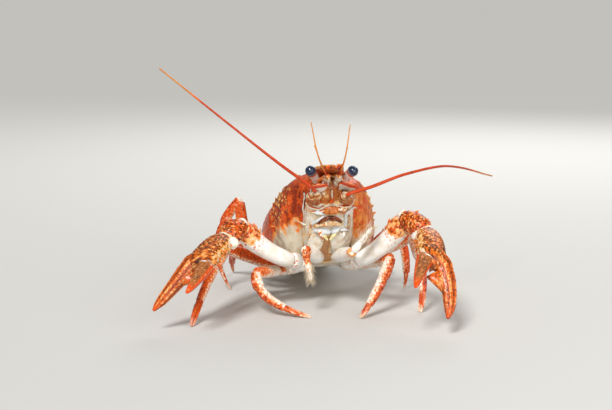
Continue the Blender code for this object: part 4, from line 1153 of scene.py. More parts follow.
@dataclass
class Face:
    """The small plates, jaws and mouth limbs under the rostrum.

    A fold is a path of rows: x, height, lift off the face, half thickness and half breadth.

    Attributes:
        front: a height in the trunk's frame and how far back the face lies there.
        side_fall: how much it falls back at the sides.
        side_x: where it falls back by that much.
        jaw_half_width: how far each jaw's edge reaches.
        jaw_z: the height of the jaws where they meet.
        jaw_drop: how much they arch down to the sides.
        folds: the pieces made of folds, each fold with its tint and its points round a ring.
        branches: each jaw foot's outer branch: the tint of its whip, its stem and its whip.
    """

    front: Table = ((-14, 31.5), (-13, 30.0), (-10.7, 26.6), (-9.5, 24.5), (-7.2, 21.9), (-5.5, 19.9), (-3.8, 18.1),
        (-2.4, 16.7), (-0.5, 15.2), (1.25, 13.9), (4.3, 12.1), (6, 11.9))
    side_fall: float = 0.9
    side_x: float = 4.8
    jaw_half_width: float = 3.0
    jaw_z: float = -2.75
    jaw_drop: float = 0.12
    folds = (
        ("mouth_plates", FACE, "pale_shell", (
            (Tint.ORANGE, 40,
                ((-2.2, -0.9, 0.1, 0.35, 0.75), (-1.1, -0.75, 0.3, 0.5, 1.2), (0.2, -0.7, 0.4, 0.55, 1.35),
                (1.5, -0.8, 0.3, 0.5, 1.15), (2.4, -0.9, 0.1, 0.35, 0.65))),
            (Tint.STAINED, 40,
                ((-4.6, -4.5, 0.25, 0.3, 0.45), (-2.8, -4.2, 0.45, 0.45, 0.75), (-0.8, -4.0, 0.55, 0.55, 1.0),
                (1.0, -4.05, 0.5, 0.5, 0.95), (3.2, -4.5, 0.25, 0.3, 0.45))),
            (Tint.BARE, 40,
                ((-6.2, -2.0, 0.2, 0.3, 0.24), (-6.3, -4.6, 0.35, 0.4, 0.34), (-6.1, -7.6, 0.3, 0.35, 0.3))),
            (Tint.BARE, 40, ((5.75, -1.6, 0.2, 0.3, 0.2), (5.85, -4.6, 0.35, 0.4, 0.3), (5.6, -8.4, 0.3, 0.35, 0.26))),
            (Tint.MIXED, 40, ((0.1, 4.9, 0.1, 0.3, 0.2), (0.1, 3.4, 0.2, 0.34, 0.3), (0.05, 2.1, 0.15, 0.3, 0.2))),
            (Tint.MIXED, 40, ((2.6, -0.6, 0.1, 0.35, 0.5), (3.5, -0.75, 0.3, 0.45, 0.65), (4.6, -0.8, 0.1, 0.3, 0.45))),
            (Tint.ORANGE, 40, ((2.7, -1.6, 0.1, 0.3, 0.2), (3.6, -1.75, 0.25, 0.32, 0.28), (4.6, -1.4, 0.1, 0.3, 0.2))),
            (Tint.STAINED, 40,
                ((-5.4, -3.6, 0.2, 0.3, 0.3), (-5.45, -5.4, 0.35, 0.4, 0.42), (-5.3, -7.6, 0.3, 0.35, 0.34))),
            (Tint.STAINED, 40,
                ((5.1, -2.3, 0.2, 0.3, 0.26), (5.15, -4.0, 0.35, 0.4, 0.36), (4.9, -6.2, 0.3, 0.3, 0.3))))),
        ("jaw_foot_roots", FACE, "pale_shell", (
            (Tint.BARE, 56,
                ((-3.9, -6.9, 0.1, 0.4, 1.6), (-3.85, -8.0, 0.35, 0.6, 2.15), (-4.15, -9.4, 0.45, 0.75, 2.1),
                (-4.5, -10.8, 0.45, 0.75, 1.75), (-4.65, -11.8, 0.35, 0.5, 1.1))),
            (Tint.BARE, 56, ((2.25, -6.9, 0.1, 0.4, 1.6), (2.2, -8.0, 0.35, 0.6, 2.15), (2.5, -9.4, 0.45, 0.75, 2.1),
                (2.85, -10.8, 0.45, 0.75, 1.75), (3.0, -11.8, 0.35, 0.5, 1.1))))),
        ("mouth_skins", SOFT, "pale_shell", (
            (Tint.BARE, 36, ((0.25, -6.0, 0.2, 0.4, 0.9), (1.0, -5.8, 0.4, 0.5, 1.15), (1.9, -5.6, 0.35, 0.45, 0.85),
                (2.6, -5.4, 0.1, 0.3, 0.4))),
            (Tint.BARE, 36, ((-0.2, -6.0, 0.2, 0.4, 0.9), (-1.4, -5.8, 0.4, 0.5, 1.25), (-3.0, -5.6, 0.4, 0.45, 0.95),
                (-4.4, -5.5, 0.1, 0.35, 0.45))),
            (Tint.BARE, 36, ((2.9, -5.9, 0.3, 0.35, 0.36), (4.0, -5.95, 0.45, 0.4, 0.46), (5.3, -5.9, 0.2, 0.3, 0.34))),
            (Tint.BARE, 36,
                ((-4.7, -0.9, 0.0, 0.35, 0.5), (-3.5, -1.1, 0.3, 0.45, 0.75), (-2.1, -1.6, 0.1, 0.35, 0.4))))),
        ("eye_bridge", FACE, "pale_shell", (
            (Tint.MIXED, 28, ((-3.4, 6.9, 0.5, 0.4, 0.5), (-2.2, 7.5, 0.9, 0.5, 0.6), (-0.9, 7.9, 1.2, 0.45, 0.5),
                (-0.25, 7.9, 1.2, 0.3, 0.3))),
            (Tint.MIXED, 24, ((-1.9, 5.9, 0.3, 0.3, 0.35), (-2.5, 4.6, 0.4, 0.35, 0.5), (-2.2, 3.3, 0.3, 0.3, 0.35))),
            (Tint.MIXED, 28, ((3.4, 6.9, 0.5, 0.4, 0.5), (2.2, 7.5, 0.9, 0.5, 0.6), (0.9, 7.9, 1.2, 0.45, 0.5),
                (0.25, 7.9, 1.2, 0.3, 0.3))),
            (Tint.MIXED, 24, ((1.9, 5.9, 0.3, 0.3, 0.35), (2.5, 4.6, 0.4, 0.35, 0.5), (2.2, 3.3, 0.3, 0.3, 0.35))))),
        ("mouth_spine", SHELL, "shell", (
            (Tint.ORANGE, 30,
                ((0.0, 2.0, 0.3, 0.25, 0.14), (0.0, 1.6, 0.45, 0.3, 0.4), (0.0, 1.15, 0.4, 0.3, 0.85))),)),
        ("inner_jaw_feet", ARM, "pale_shell", (
            (Tint.MIXED, 24,
                ((-3.2, -5.9, 1.2, 0.4, 0.45), (-2.9, -6.6, 1.5, 0.5, 0.55), (-2.5, -7.3, 1.6, 0.45, 0.5))),
            (Tint.MIXED, 24,
                ((-2.5, -7.2, 1.6, 0.35, 0.36), (-2.3, -7.8, 1.6, 0.3, 0.3), (-2.05, -8.3, 1.4, 0.2, 0.18))),
            (Tint.BARE, 24, ((3.9, -6.6, 0.9, 0.35, 0.36), (3.8, -7.3, 1.1, 0.4, 0.42), (3.5, -8.0, 1.0, 0.3, 0.3))))),
        ("inner_jaw_tips", FACE, "pale_shell", (
            (Tint.YELLOW, 20,
                ((-2.0, -6.4, 0.9, 0.35, 0.4), (-1.6, -7.3, 1.4, 0.42, 0.56), (-0.8, -8.3, 1.3, 0.22, 0.24))),
            (Tint.YELLOW, 20,
                ((1.6, -6.1, 0.9, 0.3, 0.3), (0.9, -7.2, 1.4, 0.42, 0.54), (0.0, -8.3, 1.3, 0.24, 0.26))))),
    )
    branches = {
        Side.LEFT: (Tint.BARE, ((4.3, -4.9, 0.3, 0.36, 0.42), (4.2, -3.5, 0.5, 0.36, 0.4), (4.1, -2.1, 0.7, 0.3, 0.3)),
            ((4.1, -2.2, 0.7, 0.3, 0.27), (5.2, -1.1, 1.1, 0.26, 0.24), (6.4, -0.5, 1.5, 0.2, 0.19),
                (7.6, -0.2, 1.7, 0.1, 0.1))),
        Side.RIGHT: (Tint.MIXED,
            ((-5.1, -3.9, 0.3, 0.32, 0.34), (-3.7, -3.2, 0.5, 0.36, 0.42), (-2.1, -2.3, 0.3, 0.22, 0.22)),
            ((-6.5, -4.0, 0.7, 0.2, 0.2), (-7.0, -3.7, 1.0, 0.26, 0.25), (-7.7, -3.1, 1.4, 0.2, 0.2),
                (-8.5, -2.3, 1.7, 0.1, 0.1))),
    }

    def on(self, x: float, z: float, lift: float) -> Array:
        """A place on the face, lifted off it."""
        s = float(read(self.front, z)) + self.side_fall * (abs(x) / self.side_x) ** 4 - lift
        return TRUNK.place((x, s, z))

    def fold(self, path: Table, tint: Tint, around: int = 30, ribs: float = 0.0) -> Skin:
        """Builds a raised plate, fold or small limb along a path on the face.

        Args:
            path: rows of x, height, lift, half thickness and half breadth.
            tint: how it is coloured.
            around: how many points a ring has.
            ribs: the spacing of ribs across it, or 0 for none.

        Returns:
            The fold's skin.
        """
        knots = np.array(path, float)
        fine = read_line(np.arange(len(knots)).astype(float), knots, np.linspace(0, len(knots) - 1, 5 * len(knots)))
        stations = [(self.on(x, z, lift), thick, wide) for x, z, lift, thick, wide in fine]
        return Limb(stations, TRUNK.way((0, 1, 0)), 0.95, around, 0.14, (0.7, 0.7)).skin(
            lambda patch: self.fold_rule(patch, tint, ribs))

    @staticmethod
    def fold_rule(patch: Patch, tint: Tint, ribs: float) -> Look:
        """Gives a fold its fine relief and its tint.

        Args:
            patch: its points.
            tint: how it is coloured.
            ribs: the spacing of its ribs, or 0 for none.

        Returns:
            Its relief and marks.
        """
        wave, fine = clouds(patch.points, 0.55, 7.0), clouds(patch.points, 0.3, 9.0)
        vein = ease(0.57, 0.7, clouds(patch.points, 0.9, 15.0))
        rib = 0.06 * np.cos(patch.lie[..., 2] * math.tau / ribs) if ribs else 0.0
        pale = {Tint.BARE: 1.0, Tint.YELLOW: 1.0, Tint.ORANGE: 0.3 * ease(0.5, 0.8, wave),
            Tint.MIXED: ease(0.3, 0.7, wave), Tint.STAINED: 0.46 + 0.26 * fine,
            Tint.TOPPED: ease(0.45, -0.1, patch.up)}[tint]
        return 0.14 * (wave - 0.5) + rib, {"pale": pale * (1 - (0.2 if tint is Tint.BARE else 0.45) * vein),
            "spots": 0.6 * vein, "tip": 0.85 * (tint is Tint.YELLOW), "red": 0.8 * (1 - pale) * (tint is Tint.TOPPED),
            "dark": 0.5 * ease(0.55, 0.35, fine) * (tint is Tint.STAINED)}

    def build(self) -> None:
        """Makes the face's plates and small limbs."""
        self.jaws()
        for name, finish, slot, folds in self.folds:
            Piece(name, finish, slot).add(*(self.fold(path, tint, around) for tint, around, path in folds)).make()
        for side in Side:
            self.feeler_folds(side)
            self.cheek_edge(side)
            tint, stem, whip = self.branches[side]
            Piece(f"jaw_foot_branch_{side.word}", SOFT, "pale_shell").add(
                self.fold(stem, Tint.BARE, 20), self.fold(whip, tint, 18, 0.45)).make()

    def jaws(self) -> None:
        """Makes the arched dark biting edges of the two jaws."""
        piece = Piece("jaw_edges", JAW, "jaw", ["mandibles"])
        for side in Side:
            stations = []
            for x in np.linspace(0.1, self.jaw_half_width, 9):
                size = 1.0 - 0.045 * x * x
                place = self.on(side.value * x - 0.2, self.jaw_z - self.jaw_drop * x * x, 0.45)
                stations.append((place, size * 0.85, size * 0.52))
            piece.add(Limb(stations, TRUNK.way((0, 1, 0)), 0.9, 32, 0.12, (0.2, 0.6)).skin(self.jaw_rule))
        piece.make()

    @staticmethod
    def jaw_rule(patch: Patch) -> Look:
        """Blunt teeth and fine streaks along the biting edge.

        Args:
            patch: its points.

        Returns:
            Its relief and marks.
        """
        tooth = np.cos(patch.lie[..., 2] * math.tau / 0.7) * np.maximum(-patch.up, 0)
        streak = clouds(patch.lie * np.array((1.0, 1.0, 3.0)), 1.0, 4.0)
        return 0.12 * tooth + 0.06 * (streak - 0.5), {"dark": ease(0.4, 0.7, streak)}

    def feeler_folds(self, side: Side) -> None:
        """Makes the curved folds under the base of the long feeler.

        Args:
            side: the feeler's side.
        """
        piece = Piece(f"feeler_folds_{side.word}", FACE, "shell")
        for k in range(3):
            reach = 2.3 + 0.85 * k
            path = []
            for a in np.radians(np.linspace(-118, -18, 9)):
                x = 3.75 + reach * math.cos(a) * 0.95
                wave = 0.12 * math.sin(5 * a + 2 * k + side.value)
                if x > 6.9:
                    break
                path.append((side.value * x, 2.9 + reach * math.sin(a) + wave, 0.35 - 0.06 * k, 0.36, 0.36 + wave))
            piece.add(self.fold(tuple(path), Tint.TOPPED, 24))
        piece.make()

    def cheek_edge(self, side: Side) -> None:
        """Makes the soft pale edge between the face and the cheek.

        Args:
            side: the cheek's side.
        """
        stations = []
        for z in np.linspace(4.6, -8.8, 18):
            x = 6.75 + 0.025 * (4 - z) + 0.16 * math.sin(1.1 * z) + 0.07 * math.sin(3.1 * z + side.value)
            place = TRUNK.place((side.value * x, 14.4 + 0.7 * (10.5 - z), z))
            stations.append((place, 0.21 + 0.06 * math.sin(1.7 * z), 0.7))
        Piece(f"cheek_edge_{side.word}", SOFT, "pale_shell").add(
            Limb(stations, TRUNK.way((1, 0, 0)), 0.95, 28, 0.25, (0.5, 0.5)).skin(self.edge_rule)).make()

    @staticmethod
    def edge_rule(patch: Patch) -> Look:
        """Soft creases, paler above and darker towards the lower end.

        Args:
            patch: its points.

        Returns:
            Its relief and marks.
        """
        wave = clouds(patch.points, 1.1, 3.0)
        return 0.14 * (wave - 0.5), {"pale": 0.3 + 0.6 * wave - 0.7 * ease(0.3, 0.55, patch.share),
            "dark": 0.3 * ease(0.4, 0.8, patch.share)}


@dataclass
class Eye:
    """An eye on its stalk.

    Attributes:
        side: the animal's side that it is on.
        radius: the eye's radius.
        root: the stalk's root on the left, in the trunk's frame.
        centres: the eye's centre on each side.
    """

    side: Side
    radius: float = 1.5
    root: Point = (3.0, 14.5, 6.6)
    centres = {Side.LEFT: (5.9, 0.7, 40.1), Side.RIGHT: (-5.5, -0.7, 40.3)}

    def build(self) -> None:
        """Makes the stalk and the eye."""
        word = self.side.word
        root, centre = TRUNK.mirrored(self.side, self.root), np.array(self.centres[self.side])
        way = unit(centre - root)
        seam = centre - way * 0.75
        stalk = [(root, 1.25, 1.25), ((root + seam) / 2, 1.15, 1.15), (seam - way * 0.6, 1.3, 1.3), (seam, 1.36, 1.36)]
        Piece(f"eye_stalk_{word}", ARM, "shell", [f"eyestalk_{word}"]).add(
            Limb(stalk, UP, 1.0, 36, 0.2, (0.1, 0.12)).skin(self.stalk_rule)).make()
        rings = [(math.sin(a), max(math.cos(a), 0.02)) for a in np.linspace(-1.15, math.pi / 2, 30)]
        ball = Limb(along(centre, centre + way * self.radius, rings, self.radius), UP, 1.0, 48, 0.1, (0.3, 0.2))
        Piece(f"eye_ball_{word}", EYE, "eye", [f"eye_{word}"]).add(ball.skin(self.ball_rule)).make()

    @staticmethod
    def stalk_rule(patch: Patch) -> Look:
        """Red above and white below; the white is real, and is drawn far up the sides as painted light in the rostrum's
        shadow.
        """
        # Painted light in part: the pale reaches high so that the stalk looks lit under the rostrum.
        pale = ease(0.6, 0.1, patch.up + 0.5 * (patch.cloud(0.7, 2.0) - 0.5)) * ease(1.0, 0.85, patch.share)
        return 0.04 * (patch.cloud(0.6) - 0.5), {"pale": pale}

    @staticmethod
    def ball_rule(patch: Patch) -> Look:
        """A painted sheen at the rim where the eye meets its stalk, which is its edge as seen from the front."""
        return 0 * patch.share, {"tip": ease(0.68, 0.26, patch.share) * 0.85}


@dataclass
class Antennule:
    """The short inner feeler, with its jointed stem and two whips.

    Attributes:
        side: the animal's side that it is on.
        root: the stem's root on the left, in the trunk's frame.
        knuckles: the stem's end on each side, given in the same way.
        tips: where its two whips end.
        bows: how far each whip leans out, as a share of its reach to the side.
    """

    side: Side
    root: Point = (1.5, 13.5, 5.9)
    knuckles = {Side.LEFT: (1.2, 4.2, 7.0), Side.RIGHT: (1.9, 4.2, 7.0)}
    tips = {Side.LEFT: ((5.0, -4.0, 53.1), (4.15, -11.0, 48.0)), Side.RIGHT: ((-5.4, -4.0, 53.7), (-4.55, -11.0, 48.5))}
    bows: tuple[float, float] = (0.58, 0.46)

    def build(self) -> None:
        """Makes the stem and the whips."""
        word = self.side.word
        root, knuckle = TRUNK.mirrored(self.side, self.root), TRUNK.mirrored(self.side, self.knuckles[self.side])
        stem = Piece(f"inner_feeler_stem_{word}", FACE, "feeler")
        for first, last, thick in ((0.0, 0.47, 1.05), (0.49, 0.77, 0.94), (0.79, 1.0, 0.82)):
            span = along(root, knuckle, ((0, 0.8), (0.3, 0.95), (0.8, 1.0), (1, 0.88)), thick, thick * 0.95,
                first, last)
            stem.add(Limb(span, UP, 0.95, 28, 0.2, (0.3, 0.3)).skin(self.stem_rule))
        stem.make()
        piece = Piece(f"inner_feeler_{word}", WHIP, "feeler", [f"antennule_{word}"])
        start = knuckle + (root - knuckle) * 0.12
        for place, share in zip(self.tips[self.side], self.bows):
            tip = np.array(place)
            lean = start + (tip - start) * np.array((share, 0.5, 0.42)) - np.array((0, 1.8, 0))
            piece.add(whip_skin([start, lean, tip], (0.3, 0.13), 14, 0.0))
        piece.make()

    @staticmethod
    def stem_rule(patch: Patch) -> Look:
        """Orange above, mottled at the sides.

        Args:
            patch: its points.

        Returns:
            Its relief and marks.
        """
        wave = clouds(patch.points, 0.6, 4.0)
        return 0.1 * (wave - 0.5), {"pale": ease(0.6, 0.0, patch.up) * ease(0.25, 0.6, wave),
            "dark": 0.4 * ease(0.6, 0.8, wave), "red": ease(0.3, 0.8, patch.up)}


def whip_skin(points: Sequence[Array], radii: tuple[float, float], around: int, pales_from: float = 0.45) -> Skin:
    """A ringed whip that thins and pales along a smooth curve.

    Args:
        points: the places that it passes through.
        radii: its radius at the root and at the tip.
        around: how many points a ring has.
        pales_from: the share of its length where it starts to turn yellow.

    Returns:
        The whip's skin.
    """
    reach = reaches(np.array(points))
    fine = np.linspace(0, reach[-1], 60)
    radius = radii[0] + (radii[1] - radii[0]) * (fine / reach[-1]) ** 0.7
    stations = [(place, r, r) for place, r in zip(read_line(reach, np.array(points), fine), radius)]

    def rings(patch: Patch) -> Look:
        """Fine rings all along, and a yellower tip.

        Args:
            patch: its points.

        Returns:
            Its relief and marks.
        """
        wave = np.cos(patch.lie[..., 2] * math.tau / 0.55)
        pale = 0.8 * ease(pales_from, pales_from + 0.55, patch.share)
        return 0.016 * wave, {"pale": pale, "dark": 0.25 * ease(0.2, -0.8, wave)}

    return Limb(stations, np.array((0.1, 0.2, 1.0)), 1.0, around, 0.14, (0.5, 1.2)).skin(rings)


@dataclass
class Antenna:
    """The long feeler with its jointed base and its scale.

    Attributes:
        side: the animal's side that it is on.
        root: the base's root on the left, in the trunk's frame.
        bases: where the base ends.
        routes: the places that the whip passes through.
        profile: a share of the base and how full it is there.
        scale_root: the scale's root on the left, in the trunk's frame.
        scale_tip: its tip, given in the same way.
        scale_outline: a share of the scale, its half width and how far it leans out.
        scale_tilts: how far it is tilted, in degrees.
    """

    side: Side
    root: Point = (4.5, 17.0, 2.2)
    bases = {Side.LEFT: (4.2, -3.0, 34.1), Side.RIGHT: (-4.3, -3.0, 34.9)}
    routes = {Side.LEFT: ((11.0, -1.0, 36.1), (20.3, 4.0, 38.8), (32.9, 18.0, 39.2), (50.1, 52.0, 31.7)),
        Side.RIGHT: ((-14.0, 3.0, 41.8), (-25.0, 10.0, 49.5), (-48.2, 24.0, 66.2))}
    profile: Table = ((0, 1), (0.42, 1.05), (0.48, 0.84), (0.54, 0.92), (0.72, 0.86), (0.77, 0.66), (0.82, 0.7),
        (0.98, 0.46))
    scale_root: Point = (4.7, 15.5, 3.5)
    scale_tip: Point = (3.5, 6.6, 5.1)
    scale_outline: Table = ((0, 1.2, 0), (0.2, 2.0, 0), (0.6, 2.5, 0), (0.82, 2.6, 0.3), (0.95, 2.3, 0.6),
        (1.04, 1.6, 0.8), (1.1, 0.6, 0.9))
    scale_tilts = {Side.LEFT: 20.0, Side.RIGHT: 3.0}

    def build(self) -> None:
        """Makes the base, the whip and the scale."""
        word = self.side.word
        root, tip = TRUNK.mirrored(self.side, self.root), np.array(self.bases[self.side])
        way = unit(tip - root)
        Piece(f"feeler_base_{word}", FACE, "shell", [f"antenna_base_{word}"]).add(
            Limb(along(root, tip, self.profile, 2.1, 1.9), np.array((1.0, 0, 0)), 0.95, 56, 0.16, (0.1, 0.3)).skin(
                self.base_rule)).make()
        route = [tip + way * 0.54] + [np.array(p) for p in self.routes[self.side]]
        route.insert(1, route[0] + way * 1.0 + unit(route[1] - route[0]) * 1.8)
        Piece(f"long_feeler_{word}", WHIP, "feeler", [f"antenna_{word}"]).add(whip_skin(route, (0.54, 0.21), 18)).make()
        start, end = TRUNK.mirrored(self.side, self.scale_root), TRUNK.mirrored(self.side, self.scale_tip)
        tilt = math.radians(self.scale_tilts[self.side])
        outward = TRUNK.way((self.side.value * math.cos(tilt), 0, -math.sin(tilt)))
        leaf = [(start + (end - start) * t + outward * shift, half, 0.38 if t < 1 else 0.2)
            for t, half, shift in self.scale_outline]
        Piece(f"feeler_scale_{word}", ARM, "shell", [f"antennal_scale_{word}"]).add(
            Limb(leaf, outward, 0.9, 40, 0.2, (0.2, 0.5)).skin(self.scale_rule)).make()

    @staticmethod
    def base_rule(patch: Patch) -> Look:
        """Beige joints with darker rings at their rims, and painted shade on their undersides.

        Args:
            patch: its points.

        Returns:
            Its relief and marks.
        """
        rims = ((0.45, 0.03), (0.76, 0.025), (0.62, 0.02))
        rim = np.clip(sum(hill(patch.share, at, wide) for at, wide in rims), 0, 1)
        bright = patch.cloud(0.9, 3.0)
        spoke = 0.5 + 0.5 * np.cos(patch.angle * 9 + 4 * bright)
        # Painted shade: the underside is drawn browner, less pale and without red rims.
        under = ease(0.2, -0.6, patch.up)
        stain = 0.7 * ease(0.52, 0.7, clouds(patch.points, 0.7, 5.0))
        return 0.18 * (bright - 0.5), {"pale": ease(0.3, 0.6, bright) * (0.85 - 0.5 * under),
            "red": 0.8 * rim * (1 - under), "dark": np.maximum(0.6 * rim * spoke, stain),
            "tip": 0.4 * ease(0.7, 1.0, spoke) * bright}

    @staticmethod
    def scale_rule(patch: Patch) -> Look:
        """Red upper side and front edge, white below.

        Args:
            patch: its points.

        Returns:
            Its relief and marks.
        """
        turn = np.cos(patch.angle)
        pale = ease(0.35, 0.0, patch.up) * ease(0.86, 0.72, patch.share) * ease(0.93, 0.8, np.abs(turn))
        return 0.1 * hill(turn, 0.2, 0.2), {"pale": pale, "red": 1 - pale, "tip": 0.35 * ease(0.9, 1.0, patch.share)}


@dataclass
class Maxilliped:
    """The third jaw foot: its stout lower length and the palp beyond its knee.

    Attributes:
        side: the animal's side that it is on.
        root: its root on the left, in the trunk's frame.
        knees: its knee on each side.
        tips: its tip on each side.
        bristles: how many bristles its palp has.
    """

    side: Side
    root: Point = (2.6, 29.5, -12.4)
    knees = {Side.LEFT: (6.1, 1.0, 17.8), Side.RIGHT: (-7.0, 1.0, 18.3)}
    tips = {Side.LEFT: (11.1, -1.0, 24.8), Side.RIGHT: (-5.4, 0.0, 9.9)}
    bristles: int = 260

    def build(self) -> None:
        """Makes both lengths and the tuft of bristles along the palp."""
        word = self.side.word
        root = TRUNK.mirrored(self.side, self.root)
        knee, tip = np.array(self.knees[self.side]), np.array(self.tips[self.side])
        hint = unit(np.cross(knee - root, tip - knee))
        lower = along(root, knee, ((0, 1.7), (0.3, 1.95), (0.62, 1.8), (0.84, 1.5), (0.97, 1.25)))
        Piece(f"jaw_foot_{word}", ARM, "pale_shell", [f"maxilliped_{word}"]).add(
            Limb(lower, hint, 0.9, 44, 0.25, (0.3, 0.5)).skin(self.lower_rule)).make()
        palp = Piece(f"jaw_foot_palp_{word}", ARM, "pale_shell", [f"maxilliped_palp_{word}"])
        for first, last, thick in ((0.03, 0.33, 1.05), (0.33, 0.7, 0.88), (0.69, 1.0, 0.62)):
            rows = ((0, 0.78), (0.25, 1.0), (0.75, 1.0), (1, 0.8 if last < 1 else 0.35))
            span = along(knee, tip, rows, thick, thick, first, last)
            palp.add(Limb(span, hint, 0.95, 32, 0.2, (0.4, 0.4)).skin(self.palp_rule))
        palp.make()
        chance = np.random.default_rng(21 + self.side.value)
        t = chance.uniform(0.3, 1.02, self.bristles) ** 0.8
        way = unit(tip - knee)
        spread = beside_line(chance, way, self.bristles)
        roots = knee + (tip - knee) * t[:, None] + spread * (0.75 * (1.15 - t))[:, None]
        lengths = chance.uniform(1.0, 2.6, self.bristles)
        Piece(f"jaw_foot_bristles_{word}", HAIR, "pale_shell").add(
            *hairs(roots, spread * 0.9 + way * 0.8, lengths, 0.045, way * 0.3)).make()

    def lower_rule(self, patch: Patch) -> Look:
        """White, with orange at the knee, more on the right.

        Args:
            patch: its points.

        Returns:
            Its relief and marks.
        """
        knee = ease(0.86, 0.96, patch.share) * (1.0 if self.side is Side.RIGHT else 0.55)
        wave = patch.cloud(0.7)
        return 0.05 * (wave - 0.5), {"pale": 1 - knee * ease(0.0, 0.5, wave), "spots": ease(0.8, 0.95, patch.share),
            "dark": 0.4 * knee * wave}

    def palp_rule(self, patch: Patch) -> Look:
        """Orange at the top of the hanging palp, and nearly all white on the raised one.

        Args:
            patch: its points.

        Returns:
            Its relief and marks.
        """
        wave = clouds(patch.lie * np.array((1.0, 1.0, 0.6)), 0.5, 3.0)
        if self.side is Side.LEFT:
            return 0.05 * (wave - 0.5), {"pale": 1.0, "spots": 0.15}
        down = ease(18.0, 11.5, patch.points[..., 2])
        near, own = patch.beads(0.45, 3.0)
        dot = ease(0.6, 0.35, near)
        return 0.05 * (wave - 0.5), {"pale": ease(0.3, 0.8, down + 0.9 * (wave - 0.5)), "spots": 0.5 * (1 - down),
            "dark": 0.7 * ease(0.3, 0.0, down) * wave, "tip": dot * (own > 0.55) * 0.8,
            "grain": dot * (own < 0.25) * (1 - down)}


